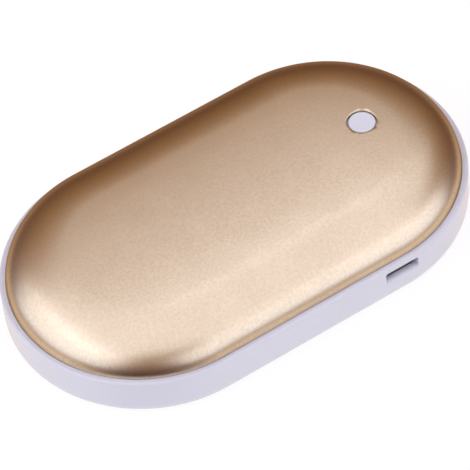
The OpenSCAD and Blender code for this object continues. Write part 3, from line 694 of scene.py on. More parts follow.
# the finish of each material slot in the record
FINISHES: dict[str, Finish] = {
    # ABS from a polished mould: glossy, slightly lilac white, with edges that glow a little from within
    "case_white": MouldedPlastic("glossy_white_abs", "#D8DBE7", 0.2, tone="#D3D6E2", translucency=0.25),
    # blasted and dyed aluminium: champagne, with broad soft highlights and a fine sparkle
    "cover_gold": BlastedAnodised("anodised_champagne_aluminium", "#F4E5CC", 0.36),
    # polycarbonate from an etched mould: the case's white with a silkier shine
    "button_white": MouldedPlastic(
        "satin_white_polycarbonate", "#DFE5F2", 0.32, tone="#E2E7F4", skin=0.25 * MM, skin_height=0.001 * MM
    ),
    # ABS from an eroded mould: plain, matt and pale grey
    "frame_plastic": MouldedPlastic("moulded_abs_inner", "#CFCFCF", 0.5, tone="#C6C6C4", skin=0.3 * MM),
    # cured glue: a half-clear yellowish line
    "glue": ClearFilm("cured_cover_glue", "#B8A468", 0.35, clear=0.3),
    # glass laminate under solder mask: deep green with paler raised tracks
    "board_laminate": BoardLaminate("solder_masked_laminate", "#10401C", 0.3),
    # moulded resin of chips and sockets: matt black with a faint grain
    "black_resin": FiredBody("moulded_black_resin", "#1A1A1B", 0.55, speck="#262628"),
    # stamped steel under nickel: bright, with fine lines
    "stamped_steel": PlatedMetal("nickel_plated_stamping", "#C9C9CB", 0.28, tone="#AFAFB2"),
    # rolled spring steel: shiny and straw-coloured from its heat treatment
    "spring_metal": PlatedMetal("rolled_spring_steel", "#CDBE93", 0.22, tone="#B7A577"),
    # tinned copper: soft grey shine without a direction
    "tinned_metal": PlatedMetal("tinned_copper", "#C8C9CC", 0.34, tone="#A9ABAF", stretch=(1, 1, 1)),
    # contacts under a flash of gold: warm and bright
    "contact_gold": PlatedMetal("gold_flashed_contact", "#E0B45C", 0.24, tone="#CFA048"),
    # pressed ferrite: dark grey and speckled
    "ferrite": FiredBody("pressed_ferrite", "#2E2E30", 0.5, speck="#4A4A4D", grain_size=0.2 * MM),
    # fired ceramic of capacitors: matt tan
    "capacitor_ceramic": FiredBody("fired_capacitor_ceramic", "#A98258", 0.42, speck="#8D6A46"),
    # lacquer over a resistor: black with some shine
    "resistor_black": FiredBody("lacquered_resistor", "#202124", 0.3, speck="#303238"),
    # cast resin of a lamp: clear yellow
    "led_lens": ClearFilm("clear_yellow_resin", "#E8DC8A", 0.15, clear=0.6),
    # zinc-plated screws: cool grey and bright
    "screw_steel": PlatedMetal("zinc_plated_screw", "#B9BBC0", 0.3, tone="#9A9DA3", stretch=(1, 1, 1)),
    # laminated foil of the cell: satin silver with soft creases
    "pouch_foil": PouchFoil("laminated_pouch_foil", "#B9BDC4", 0.34),
    # polyimide film and tape: clear amber with a gloss
    "amber_film": ClearFilm("polyimide_film", "#C8761E", 0.22, clear=0.35),
    # etched foil of the heater: dull copper
    "heater_foil": PlatedMetal("etched_heater_foil", "#B98A62", 0.36, tone="#9C7150"),
    # fine foam tape: white and matt with small cells
    "white_foam": FoamedPlastic("white_foam_tape", "#E4E4DE", 0.8, cell=0.3 * MM, shadow="#A8A8A0"),
    # closed-cell foam block: grey and matt with open cut cells
    "grey_foam": FoamedPlastic("grey_closed_cell_foam", "#8C8D90", 0.85, shadow="#4C4D50"),
    # dipped epoxy of the sensor: dark brown and wet-looking
    "sensor_resin": FiredBody("dipped_epoxy_bead", "#3A2A20", 0.18, speck="#241811"),
    # silicone of the leads, in three colours: soft shine on a smooth drawn skin
    "wire_red": MouldedPlastic("red_silicone_insulation", "#B01818", 0.38, tone="#9C1212", skin=0.4 * MM),
    "wire_black": MouldedPlastic("black_silicone_insulation", "#1C1C1E", 0.4, tone="#262628", skin=0.4 * MM),
    "wire_white": MouldedPlastic("white_silicone_insulation", "#D8D8D2", 0.42, tone="#CCCCC6", skin=0.4 * MM),
}


@dataclass(frozen=True)
class Plan:
    """What the pieces share: the stadium of case and cover, and where button, port, cell and bosses are."""

    case_length: float = 108 * MM
    case_width: float = 62.6 * MM
    rim_height: float = 10.4 * MM
    rim_ledge: float = 1.35 * MM
    rebate: float = 1.0 * MM
    sides: int = 256
    button_x: float = 33.3 * MM
    port_x: float = 21.45 * MM
    cell_x: float = -17.228 * MM
    boss_places: tuple[tuple[float, float], ...] = (
        (18.5 * MM, -19.1 * MM), (18.5 * MM, 12.5 * MM), (41.5 * MM, -15.6 * MM), (41.5 * MM, 12.5 * MM)
    )

    @property
    def case_r(self) -> float:
        """Radius of the case's round ends."""
        return self.case_width / 2

    @property
    def reach(self) -> float:
        """Distance from the middle to each end's centre."""
        return self.case_length / 2 - self.case_r

    @property
    def cover_r(self) -> float:
        """Radius of the cover's round ends."""
        return self.case_r - self.rim_ledge

    @property
    def shelf(self) -> float:
        """Height of the shelf that the cover stands on."""
        return self.rim_height - self.rebate

    @property
    def bosses(self) -> list[Matrix]:
        """Places of the four screws and their bosses."""
        return [Matrix.Translation((x, y, 0)) for x, y in self.boss_places]

    def blank(self, name: str, radius: float, height: float) -> Object:
        """Add a filled stadium that faces up, by pulling the two halves of a disc apart along X.

        Args:
            name: The piece's name.
            radius: Radius of its round ends.
            height: Its height.

        Returns:
            The new piece.
        """
        piece = new_disc(name, radius, (0, 0, height), self.sides)
        with shaping(piece, "VERT"):
            for side in (-1, 1):
                pick(piece, "verts", lambda v, side=side: v.co.x * side > 0)
                bpy.ops.transform.translate(value=(side * self.reach, 0, 0))
        return piece


@dataclass
class Part:
    """A piece that is modelled here: the plan that it follows, its body, and its slot and node in the record."""

    plan: Plan
    body: ClassVar[str] = "root"
    slot: ClassVar[str]
    node: ClassVar[str]
    smooth_turn: ClassVar[float] = 32.0

    def build(self) -> Object:
        """Model the piece. Each kind of part has its own way."""
        raise NotImplementedError

    def dress(self, piece: Object) -> None:
        """Shade the finished piece, give it the finish of its slot and put it in the place of its CAD node.

        Args:
            piece: The piece, with its place in its mesh.
        """
        only(piece)
        bpy.ops.object.shade_smooth_by_angle(angle=math.radians(self.smooth_turn))
        piece.data.materials.clear()
        piece.data.materials.append(FINISHES[self.slot].material())
        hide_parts(self.node)
        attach(piece, self.body)
        log.info("%s: %d faces, stands for %s", piece.name, len(piece.data.polygons), self.node)


@dataclass
class DomedCover(Part):
    """The drawn aluminium cover: an upright lip, a curved shoulder, a slightly crowned top and the button's hole."""

    shoulder_w: float = 13.5 * MM
    shoulder_h: float = 7.5 * MM
    crown_h: float = 0.95 * MM
    blend_drop: float = 0.07 * MM
    blend_r: float = 15.2 * MM
    blend_w: float = 2.6 * MM
    sheet: float = 0.8 * MM
    hole_r: float = 3.25 * MM
    hole_edge: float = 0.16 * MM
    hole_depth: float = 3.0 * MM
    shoulder_steps: int = 36
    crown_steps: int = 14
    slot, node = "cover_gold", "top_cover"

    def crown(self, r: float) -> float:
        """Return the crown's rise at a distance r from the spine."""
        return self.crown_h * (1 - (r / self.plan.cover_r) ** 2)

    def blend(self, r: float) -> float:
        """Return how far the shoulder is drawn down at a distance r from the spine, so that it starts softly."""
        return self.blend_drop * (1 + math.erf((r - self.blend_r) / self.blend_w)) / 2

    def profile(self) -> Profile:
        """Work out the outside of the cover, from its lip up to its spine.

        Returns:
            Distance from the spine and height of each point.
        """
        plan, flat_r = self.plan, self.plan.cover_r - self.shoulder_w
        turns = [math.radians(90 * i / self.shoulder_steps) for i in range(self.shoulder_steps + 1)]
        places = [(flat_r + self.shoulder_w * math.cos(a), math.sin(a)) for a in turns]
        places += [(flat_r * (1 - i / self.crown_steps), 1.0) for i in range(1, self.crown_steps)]
        return [(plan.cover_r, plan.shelf)] + [
            (r, plan.rim_height + (self.shoulder_h - self.blend(r)) * rise + self.crown(r)) for r, rise in places
        ]

    def build(self) -> Object:
        """Draw the dome from a stadium of sheet, give it its thickness and cut the button's hole.

        Returns:
            The cover.
        """
        cover = self.plan.blank("domed_cover", self.plan.cover_r, self.plan.shelf)
        with shaping(cover):
            follow(self.profile())
        make_sheet(cover, cap_at(self.plan.shelf), self.sheet, -1)
        combine(cover, self.hole_cutter())
        return cover

    def hole_cutter(self) -> Object:
        """Make the form of the hole: a shaft that opens into a rounded edge, square to the cover's slope.

        Returns:
            The closed form to cut out.
        """
        spine = self.plan.button_x - self.plan.reach
        top = self.plan.rim_height + self.shoulder_h + self.crown(spine)
        lean = math.atan(2 * self.crown_h * spine / self.plan.cover_r ** 2)
        mouth_r = self.hole_r + self.hole_edge
        edge = arc((mouth_r, -self.hole_edge), self.hole_edge, 180, 90, 5)
        shaft = [(self.hole_r, -self.hole_depth), *edge, (mouth_r, self.hole_depth / 4)]
        cutter = turned("hole_cutter", shaft, 96)
        cutter.matrix_world = Matrix.Translation((self.plan.button_x, 0, top)) @ Matrix.Rotation(lean, 4, "Y")
        settle(cutter)
        return cutter


@dataclass
class LowerCase(Part):
    """The moulded lower case: its outside with rim and rebate, the bay inside and the charging slot."""

    bottom_r: float = 3.1 * MM
    rim_edge_r: float = 0.6 * MM
    wall: float = 2.2 * MM
    floor: float = 1.6 * MM
    seam: float = 0.05 * MM
    edge: float = 0.2 * MM
    past: float = 1 * MM  # how far the forms that cut reach past the case
    slot_z: float = 7.65 * MM
    slot_w: float = 8.2 * MM
    slot_h: float = 2.75 * MM
    slot_corner: float = 0.6 * MM
    slot_top_lip: float = 0.06 * MM
    slot_side_lip: float = 0.2 * MM
    slot_lower_lip: float = 0.9 * MM
    # how far in the slot's pocket starts, and how much deeper it is below
    slot_face: float = 1.5 * MM
    slot_pocket: float = 1.0 * MM
    # lengths over which the pocket opens and closes again
    pocket_opens: float = 0.1 * MM
    pocket_closes: float = 0.01 * MM
    boss_r: float = 2.5 * MM
    boss_foot: float = 1.04  # as a share of the boss's radius
    boss_top: float = 5.4 * MM
    bore_r: float = 1.05 * MM
    bore_floor: float = 1.2 * MM
    bore_lead_in: float = 0.15 * MM
    rib_top: float = 4.2 * MM
    rib_t: float = 1.0 * MM
    long_rib_l: float = 42.056 * MM
    long_rib_y: float = 20.98 * MM
    end_rib_x: float = 11.0 * MM
    end_rib_l: float = 29.967 * MM
    hook_pitch: float = 16.0 * MM
    notch_w: float = 5.3 * MM
    notch_r: float = 29.8 * MM
    notch_t: float = 1.7 * MM
    notch_low: float = 6.05 * MM
    notch_high: float = 7.75 * MM
    slot, node = "case_white", "bottom_case"

    def build(self) -> Object:
        """Shape the case outwards and inwards from one stadium, then add what stands in it and cut its openings.

        Returns:
            The case.
        """
        plan, bottom_r, edge_r = self.plan, self.bottom_r, self.rim_edge_r
        lip_r, inner_r, fillet = plan.cover_r + self.seam, plan.case_r - self.wall, bottom_r - self.wall
        upper = [(plan.case_r, bottom_r)]
        upper += arc((plan.case_r - edge_r, plan.rim_height - edge_r), edge_r, 0, 90, 10)
        upper += [(lip_r, plan.rim_height), (lip_r, plan.shelf), (inner_r, plan.shelf)]
        upper += arc((inner_r - fillet, self.floor + fillet), fillet, 0, -90, 8)
        case = plan.blank("lower_case", plan.case_r, bottom_r)
        with shaping(case):
            follow(upper)
            face_outwards()
            pick(case, "faces", cap_at(bottom_r))
            follow(arc((plan.case_r - bottom_r, bottom_r), bottom_r, 0, -90, 24), -1)
            face_outwards()
        combine(case, self.fittings(), "UNION")
        for cutter in (self.bores, self.notches, self.slot_cutter):
            combine(case, cutter())
        return case

    def fittings(self) -> Object:
        """Make the screw bosses and the ribs round the cell, each sunk a little into the floor.

        Returns:
            The closed forms, as one object.
        """
        foot, r, top, edge = self.floor / 2, self.boss_r, self.boss_top, self.edge
        outline = [(r * self.boss_foot, foot), (r, top - edge), (r - edge, top)]
        fittings = copies(turned("boss", outline, 64), "fittings", self.plan.bosses)
        half_t, rib_top = self.rib_t / 2, self.rib_top
        ribs = [(self.plan.cell_x, y, self.long_rib_l / 2, half_t) for y in (-self.long_rib_y, self.long_rib_y)]
        ribs.append((self.end_rib_x, 0.0, half_t, self.end_rib_l / 2))
        for x, y, half_x, half_y in ribs:
            rib = new_block("rib", Vector((x - half_x, y - half_y, foot)), Vector((x + half_x, y + half_y, rib_top)))
            round_edges(rib, edge, 3, lambda e: min(v.co.z for v in e.verts) > rib_top - NEAR)
            join(fittings, [rib])
        return fittings

    def bores(self) -> Object:
        """Make the screw holes of the bosses, each with a small lead-in.

        Returns:
            The closed forms to cut out, as one object.
        """
        r, lead, top = self.bore_r, self.bore_lead_in, self.boss_top
        outline = [(r, self.bore_floor), (r, top - lead), (r + lead, top), (r + lead, top + self.past)]
        return copies(turned("bore", outline, 48), "bores", self.plan.bosses)

    def notches(self) -> Object:
        """Make the notches that the cover's snap hooks spring into.

        Returns:
            The closed forms to cut out, as one object.
        """
        notch = new_block(
            "notch", Vector((self.notch_r - self.notch_t, -self.notch_w / 2, self.notch_low)),
            Vector((self.notch_r, self.notch_w / 2, self.notch_high)),
        )
        reach, pitch = self.plan.reach, self.hook_pitch
        # compass turn and place along X of each notch
        places = [(0, reach), (180, -reach), (90, -pitch), (90, 0), (90, pitch), (-90, -pitch), (-90, 0)]
        return copies(notch, "notches", [
            Matrix.Translation((x, 0, 0)) @ Matrix.Rotation(math.radians(turn), 4, "Z") for turn, x in places
        ])

    def slot_cutter(self) -> Object:
        """Make the form of the slot: a rounded bar along Y, from its pocket out to where it flares at the wall.

        Returns:
            The closed form to cut out.
        """
        x, half_h, lip, mouth = self.plan.port_x, self.slot_h / 2, self.slot_lower_lip, -self.plan.case_r
        inside, face = mouth + self.wall + self.past, mouth + self.slot_face
        cutter = start(
            "slot_cutter", bpy.ops.mesh.primitive_plane_add, (self.slot_w, self.slot_h, 1), size=1,
            location=(x, inside, self.slot_z), rotation=UPRIGHT,
        )
        round_corners(cutter, self.slot_corner, 8)
        # how much of the flare is reached, how far the bottom lies below the bar's own, and the place along Y
        steps = [(0.0, self.slot_pocket, inside - self.pocket_opens), (0.0, self.slot_pocket, face)]
        steps += [(0.0, 0.0, face - self.pocket_closes), (0.0, 0.0, mouth + lip)]
        for turn in range(0, 91, 15):
            flare = 1 - math.cos(math.radians(turn))
            steps.append((flare, lip * flare, mouth + lip * (1 - math.sin(math.radians(turn)))))
        steps.append((1.0, lip, mouth - self.past))
        half_w, above, below, reached = self.slot_w / 2, half_h, half_h, inside
        with shaping(cutter):
            for flare, drop, y in steps:
                extrude(0, y - reached, 0)
                new_w = self.slot_w / 2 + flare * self.slot_side_lip
                new_above, new_below = half_h + flare * self.slot_top_lip, half_h + drop
                scale = (new_w / half_w, 1, (new_above + new_below) / (above + below))
                bpy.ops.transform.resize(value=scale, center_override=(x, 0, self.slot_z - below))
                bpy.ops.transform.translate(value=(0, 0, below - new_below))
                half_w, above, below, reached = new_w, new_above, new_below, y
            face_outwards()
        return cutter


@dataclass
class PressButton(Part):
    """The round button: a shallow dished face with a rounded rim, over its flange and stem."""

    face_r: float = 2.95 * MM
    flange_r: float = 3.8 * MM
    flange_top: float = 17.71 * MM
    flange_t: float = 0.8 * MM
    stem_r: float = 1.45 * MM
    edge: float = 0.15 * MM
    rim_r: float = 0.3 * MM
    dish: float = 0.05 * MM
    dish_share: float = 0.9  # as a share of the face's radius
    body, slot, node = "button", "button_white", "button_cap"

    def build(self) -> Object:
        """Shape the button from its stem up, as one turned form.

        Returns:
            The button.
        """
        low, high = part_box(self.node)
        edge, face_r, flange_r, top = self.edge, self.face_r, self.flange_r, self.flange_top
        under = top - self.flange_t
        profile = [(self.stem_r - edge, low.z), (self.stem_r, low.z + edge), (self.stem_r, under)]
        profile += [(flange_r - edge, under), (flange_r, under + edge), (flange_r, top - edge)]
        profile += [(flange_r - edge, top), (face_r, top)]
        profile += arc((face_r - self.rim_r, high.z - self.rim_r), self.rim_r, 0, 90, 6)
        profile += [
            (face_r * k, high.z - self.dish * (1 - (k / self.dish_share) ** 2)) for k in (0.8, 0.6, 0.4, 0.2)
        ]
        return turned("press_button", profile, 96, self.plan.button_x)


@dataclass
class ChargingSocket(Part):
    """The shell of the micro-USB socket: a folded steel tube, wide above and narrow below, with four anchors."""

    width: float = 7.5 * MM
    height: float = 2.5 * MM
    sheet: float = 0.25 * MM
    foot_w: float = 5.4 * MM
    flank_h: float = 0.95 * MM
    corner_r: float = 0.4 * MM
    mouth_edge: float = 0.06 * MM
    anchor_w: float = 0.7 * MM
    anchor_l: float = 1.3 * MM
    anchor_h: float = 1.2 * MM
    anchor_edge: float = 0.12 * MM
    anchor_shares: tuple[float, float] = (0.3, 0.75)  # places along the socket
    slot, node = "stamped_steel", "usb_shell"

    def build(self) -> Object:
        """Fold the tube from its outline at the mouth, and weld the anchors to its sides.

        Returns:
            The shell.
        """
        low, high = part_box(self.node)
        x, length = self.plan.port_x, high.y - low.y
        middle = low.z + (self.height + self.flank_h) / 2
        shell = start(
            "socket_shell", bpy.ops.mesh.primitive_plane_add, (self.width, self.height - self.flank_h, 1), size=1,
            location=(x, low.y, middle), rotation=UPRIGHT,
        )
        with shaping(shell, "EDGE"):
            pick(shell, "edges", lambda e: max(v.co.z for v in e.verts) < middle)
            extrude(0, 0, -self.flank_h)
            bpy.ops.transform.resize(value=(self.foot_w / self.width, 1, 1), center_override=(x, 0, 0))
            bpy.ops.mesh.select_all(action="SELECT")
            bpy.ops.mesh.dissolve_limited(angle_limit=math.radians(5))
        round_corners(shell, self.corner_r, 6)
        with shaping(shell):
            extrude(0, length, 0)
            face_outwards()
        make_sheet(shell, lambda f: abs(f.normal.y) > 0.9, self.sheet, -1)
        at_mouth = low.y + NEAR
        round_edges(
            shell, self.mouth_edge, 2,
            lambda e: all(v.co.y < at_mouth for v in e.verts) and e.calc_face_angle(0) > 1,
        )
        for side in (-1, 1):
            join(shell, [self.anchor(side, low.y + share * length, low.z) for share in self.anchor_shares])
        return shell

    def anchor(self, side: int, y: float, z: float) -> Object:
        """Make one anchor, which holds the shell down on the board.

        Args:
            side: -1 for the side towards the middle of the case, 1 for the other.
            y: Where the anchor's middle is along the socket.
            z: Height of the board.

        Returns:
            The anchor.
        """
        middle = self.plan.port_x + side * (self.width / 2 + self.anchor_w / 2 - self.sheet)
        half_w, half_l = self.anchor_w / 2, self.anchor_l / 2
        tab = new_block(
            "anchor", Vector((middle - half_w, y - half_l, z)),
            Vector((middle + half_w, y + half_l, z + self.anchor_h)),
        )
        round_edges(tab, self.anchor_edge, 3, lambda e: min(v.co.z for v in e.verts) > z + NEAR)
        return tab


@dataclass
class BoardScrews(Part):
    """The four pan-head screws of the board, with a cross recess and a coarse thread for plastic."""

    head_r: float = 1.9 * MM
    head_h: float = 1.3 * MM
    head_side: float = 0.45 * MM
    head_edge: float = 0.1 * MM
    head_flat: float = 0.12  # as a share of the head's radius
    shank_r: float = 1.0 * MM
    core_r: float = 0.74 * MM
    neck: float = 0.3 * MM
    tip_r: float = 0.25 * MM
    tip_h: float = 0.5 * MM
    thread: float = 0.5 * MM
    # where one turn of the thread starts, where its crest starts and ends, and where its root starts again
    thread_shares: tuple[float, ...] = (0.0, 0.4, 0.5, 0.9)
    recess_l: float = 2.2 * MM
    recess_w: float = 0.5 * MM
    recess_h: float = 0.7 * MM
    recess_taper: Triple = (0.45, 0.8, 1)
    recess_past: float = 0.5 * MM  # how far the cross's form reaches past the head
    slot, node = "screw_steel", "board_screws"

    def build(self) -> Object:
        """Turn one screw, cut its cross and copy it to all four places.

        Returns:
            The screws, as one piece.
        """
        low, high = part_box(self.node)
        seat, z = high.z - self.head_h, low.z + self.tip_h
        side_top, edge, head_r = seat + self.head_side, self.head_edge, self.head_r
        profile = [(self.tip_r, low.z)]
        while z < seat - 2 * self.thread:
            for r, share in zip((self.core_r, self.shank_r, self.shank_r, self.core_r), self.thread_shares):
                profile.append((r, z + share * self.thread))
            z += self.thread
        profile += [(self.core_r, seat - self.neck), (self.shank_r, seat)]
        profile += [(head_r - edge, seat), (head_r, seat + edge), (head_r, side_top)]
        for turn in range(15, 90, 15):
            a = math.radians(turn)
            profile.append((head_r * math.cos(a), side_top + (self.head_h - self.head_side) * math.sin(a)))
        profile.append((head_r * self.head_flat, high.z))
        screw = turned("screw", profile, 48)
        combine(screw, self.cross(high.z))
        return copies(screw, "pan_head_screws", self.plan.bosses)

    def cross(self, top: float) -> Object:
        """Make the form of the cross recess, whose arms taper towards its floor.

        Args:
            top: Height of the screw's head.

        Returns:
            The closed form to cut out.
        """
        half_l, half_w = self.recess_l / 2, self.recess_w / 2
        arms = []
        for turn in (0, 90):
            arm = new_block(
                "arm", Vector((-half_l, -half_w, top - self.recess_h)),
                Vector((half_l, half_w, top + self.recess_past)),
            )
            with shaping(arm):
                pick(arm, "faces", lambda f: f.normal.z < -0.9)
                bpy.ops.transform.resize(value=self.recess_taper, center_override=(0, 0, 0))
            arm.rotation_euler.z = math.radians(turn)
            settle(arm)
            arms.append(arm)
        combine(arms[0], arms[1], "UNION")
        return arms[0]


class FoamPart(Part):
    """A part of foam, which gives under a hand."""

    def dress(self, piece: Object) -> None:
        """Dress the foam. See Part.dress."""
        super().dress(piece)


@dataclass
class FoamPad(FoamPart):
    """The foam block that presses the heating film to the cover and keeps its heat off the cell."""

    corner_r: float = 2.0 * MM
    edge_r: float = 0.5 * MM
    bulge: float = 0.35 * MM
    # shares of the height, and how much of the bulge is reached there
    swells: tuple[tuple[float, float], ...] = ((0.25, 0.75), (0.5, 1.0), (0.75, 0.75))
    slot, node = "grey_foam", "insulation_pad"
    smooth_turn = 40.0

    def build(self) -> Object:
        """Cut the block, round it and let its pressed sides bulge a little.

        Returns:
            The pad.
        """
        low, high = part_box(self.node)
        inset = Vector((self.bulge, self.bulge, 0))
        pad = new_block("insulating_foam", low + inset, high - inset)
        round_edges(pad, self.corner_r, 6, along(2))
        round_edges(pad, self.edge_r, 4, across(2))
        rings = [(low.z + share * (high.z - low.z), swell) for share, swell in self.swells]
        with shaping(pad, "VERT"):
            for height, _ in rings:
                bpy.ops.mesh.select_all(action="SELECT")
                bpy.ops.mesh.bisect(plane_co=(0, 0, height), plane_no=(0, 0, 1))
            for height, swell in rings:
                pick(pad, "verts", lambda v, height=height: abs(v.co.z - height) < NEAR)
                wide = [1 + 2 * self.bulge * swell / (high[i] - low[i] - 2 * self.bulge) for i in (0, 1)]
                bpy.ops.transform.resize(value=(*wide, 1), center_override=(low + high) / 2)
        return pad


@dataclass
class SwitchPlunger(Part):
    """The long plunger of the switch under the button."""

    nub_r: float = 0.75 * MM
    flange_r: float = 2.25 * MM
    flange_low: float = 8.75 * MM
    flange_high: float = 9.25 * MM
    stem_r: float = 1.7 * MM
    edge: float = 0.15 * MM
    body, slot, node = "plunger", "black_resin", "switch_plunger"

    def build(self) -> Object:
        """Turn the plunger, from the nub that rests on the dome to the stem's broken edge.

        Returns:
            The plunger.
        """
        low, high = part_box(self.node)
        edge, half, flange_r = self.edge, self.edge / 2, self.flange_r
        profile = [(self.nub_r - edge, low.z), (self.nub_r, low.z + edge), (self.nub_r, self.flange_low)]
        profile += [(flange_r - half, self.flange_low), (flange_r, self.flange_low + half)]
        profile += [(flange_r, self.flange_high - half), (flange_r - half, self.flange_high)]
        profile += [(self.stem_r, self.flange_high), (self.stem_r, high.z - edge), (self.stem_r - edge, high.z)]
        return turned("plunger", profile, 64, self.plan.button_x)


@dataclass
class SnapDome(Part):
    """The snap dome that carries the plunger: a thin cap of spring steel with a small dimple in its middle."""

    radius: float = 2.15 * MM
    rise: float = 0.35 * MM
    sheet: float = 0.1 * MM
    foot: float = 7.5 * MM
    travel: float = 0.25 * MM
    slot, node = "spring_metal", "switch_snap_dome"

    def build(self) -> Object:
        """Draw the dome on an arc that stops two degrees short of its axis, which leaves the dimple.

        Returns:
            The dome.
        """
        bend = (self.radius ** 2 + self.rise ** 2) / (2 * self.rise)
        spread = math.degrees(math.asin(self.radius / bend))
        skin = arc((0, self.foot + self.rise - bend), bend, 90 - spread, 88, 12)
        dome = turned("snap_dome", skin, 64, self.plan.button_x)
        make_sheet(dome, cap_at(self.foot), self.sheet, 1)
        return dome

    def dress(self, piece: Object) -> None:
        """Dress the dome, and give it a mesh of its own. See Part.dress."""
        super().dress(piece)
        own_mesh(piece)


@dataclass
class PouchCell(Part):
    """The pouch cell, with its drawn edges, pressed faces and sealed end."""

    length: float = 46.056 * MM
    long_edge_r: float = 2.0 * MM
    end_edge_r: float = 0.9 * MM
    # inset and depth of each step of the pressed faces
    pressed: tuple[tuple[float, float], ...] = ((2.5 * MM, 0.0), (1.5 * MM, -0.06 * MM), (3 * MM, -0.06 * MM))
    face_area: float = 100 * MM * MM  # only the two large faces are larger
    seal_t: float = 0.4 * MM
    seal_inset: float = 2.0 * MM
    seal_root: float = 3 * MM
    seal_z: float = 7.2 * MM
    seal_edge: float = 0.15 * MM
    slot, node = "pouch_foil", "battery_cell"

    def build(self) -> Object:
        """Round a block into the drawn pouch, press its two faces slightly in and fuse the sealed end on.

        Returns:
            The cell.
        """
        low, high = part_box(self.node)
        end, half_t = low.x + self.length, self.seal_t / 2
        cell = new_block("pouch_cell", low, Vector((end, high.y, high.z)))
        round_edges(cell, self.long_edge_r, 8, along(0))
        round_edges(cell, self.end_edge_r, 5, across(0))
        with shaping(cell):
            pick(cell, "faces", lambda f: abs(f.normal.z) > 0.999 and f.calc_area() > self.face_area)
            for inwards, depth in self.pressed:
                bpy.ops.mesh.inset(thickness=inwards, depth=depth, use_individual=True)
        seal = new_block(
            "seal", Vector((end - self.seal_root, low.y + self.seal_inset, self.seal_z - half_t)),
            Vector((high.x, high.y - self.seal_inset, self.seal_z + half_t)),
        )
        round_edges(seal, self.seal_edge, 3, lambda e: max(v.co.x for v in e.verts) > high.x - NEAR)
        combine(cell, seal, "UNION")
        return cell


@dataclass
class FoamTape(FoamPart):
    """The two strips of foam tape that the cell lies on."""

    length: float = 27.245 * MM
    width: float = 7.194 * MM
    y: float = 10.791 * MM
    corner_r: float = 0.4 * MM
    edge_r: float = 0.12 * MM
    slot, node = "white_foam", "battery_foam_tape"

    def build(self) -> Object:
        """Cut one strip, soften its edges and copy it to the other side.

        Returns:
            Both strips, as one piece.
        """
        low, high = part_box(self.node)
        x, half_l, half_w = self.plan.cell_x, self.length / 2, self.width / 2
        strip = new_block(
            "foam_strip", Vector((x - half_l, -self.y - half_w, low.z)),
            Vector((x + half_l, -self.y + half_w, high.z)),
        )
        round_edges(strip, self.corner_r, 4, along(2))
        round_edges(strip, self.edge_r, 3, across(2))
        return copies(strip, "foam_strips", [Matrix.Translation((0, y, 0)) for y in (0, 2 * self.y)])


@dataclass
class Lead(Part):
    """One insulated lead, or a pair of the same kind: its thickness, and the points of its routes in millimetres."""

    slot: str
    node: str
    thickness: float
    routes: list[list[Triple]]
    curve_steps: ClassVar[int] = 10
    ring_steps: ClassVar[int] = 5
    smooth_turn = 50.0

    def build(self) -> Object:
        """Lay each lead as a smooth curve through its points and turn it into a tube.

        Returns:
            The leads, as one piece.
        """
        tubes = []
        for route in self.routes:
            lead = start("lead", bpy.ops.curve.primitive_bezier_curve_add)
            points = lead.data.splines[0].bezier_points
            points.add(len(route) - len(points))
            for point, place in zip(points, route):
                point.co = [v * MM for v in place]
                point.handle_left_type = point.handle_right_type = "AUTO"
            lead.data.resolution_u = self.curve_steps
            lead.data.bevel_depth = self.thickness / 2
            lead.data.bevel_resolution = self.ring_steps
            lead.data.use_fill_caps = True
            bpy.ops.object.convert(target="MESH")
            tubes.append(bpy.context.object)
        join(tubes[0], tubes[1:])
        tubes[0].name = tubes[0].data.name = self.node + "_insulated"
        with shaping(tubes[0]):
            bpy.ops.mesh.remove_doubles(threshold=NEAR)
            face_outwards()
        return tubes[0]


@dataclass
class Wiring:
    """The leads between board, cell, heating film and sensor, laid by the points of the CAD model."""

    plan: Plan
    thick: float = 1.3 * MM
    fine: float = 0.7 * MM

    def down(self, y: float) -> list[Triple]:
        """Return the end of a route, straight down on the board, in millimetres."""
        return [(18.2, y, 9.3), (18.2, y, 8.1), (18.2, y, 6.9)]

    def leads(self) -> list[Lead]:
        """List the leads with their routes.

        Returns:
            The leads.
        """
        battery = [
            [(7.8, y, 8.85), (7.8, y, 10.05), (9, y, 11.25), (13, over, 11.25), (17, end, 10.05), *self.down(end)]
            for y, over, end in ((-5.993, -7.175, -8.356), (-10.489, -11.634, -12.78))
        ]
        heater = [
            [(19.38, y, top), (19.38, y, top - 1.2), (20.58, y, knee), (19.38, over, turn), *self.down(end)]
            for y, over, end, top, knee, turn in (
                (3.6, 3.31, 3.02, 17.178, 13.752, 12.039), (7.5, 7.314, 7.128, 17.124, 13.716, 12.012)
            )
        ]
        sensor = [
            [(13.48, y, 16.795), (15.68, y, 16.795), (16.88, over, 13.595), (19.4, end, 11.848), *self.down(end)]
            for y, over, end in ((-3.4, -3.63, -4.09), (-2.6, -2.359, -1.878))
        ]
        return [
            Lead(self.plan, "wire_red", "battery_lead_red", self.thick, battery[:1]),
            Lead(self.plan, "wire_black", "battery_lead_black", self.thick, battery[1:]),
            Lead(self.plan, "wire_white", "heater_leads", self.thick, heater),
            Lead(self.plan, "wire_white", "thermistor_leads", self.fine, sensor),
        ]


def dress_cad_nodes() -> None:
    """Give each CAD node the finish of its slot. Those that new pieces stand for are hidden later."""
    for part in frame["record"]["subparts"]:
        node = frame["nodes"][part["node"]]
        finish = FINISHES[part["material_slot"]]
        if not node.material_slots:
            node.data.materials.append(finish.material())
        for place in node.material_slots:
            place.material = finish.material()
        log.info("%s: CAD node in %s", part["node"], finish.name)


class Side(Enum):
    """The sides of the studio that a softbox hangs on, as compass turns from the -Y axis towards +X, in degrees."""

    FRONT = 28.0
    LEFT = -101.0
    BACK = 144.0
    ABOVE = -17.0


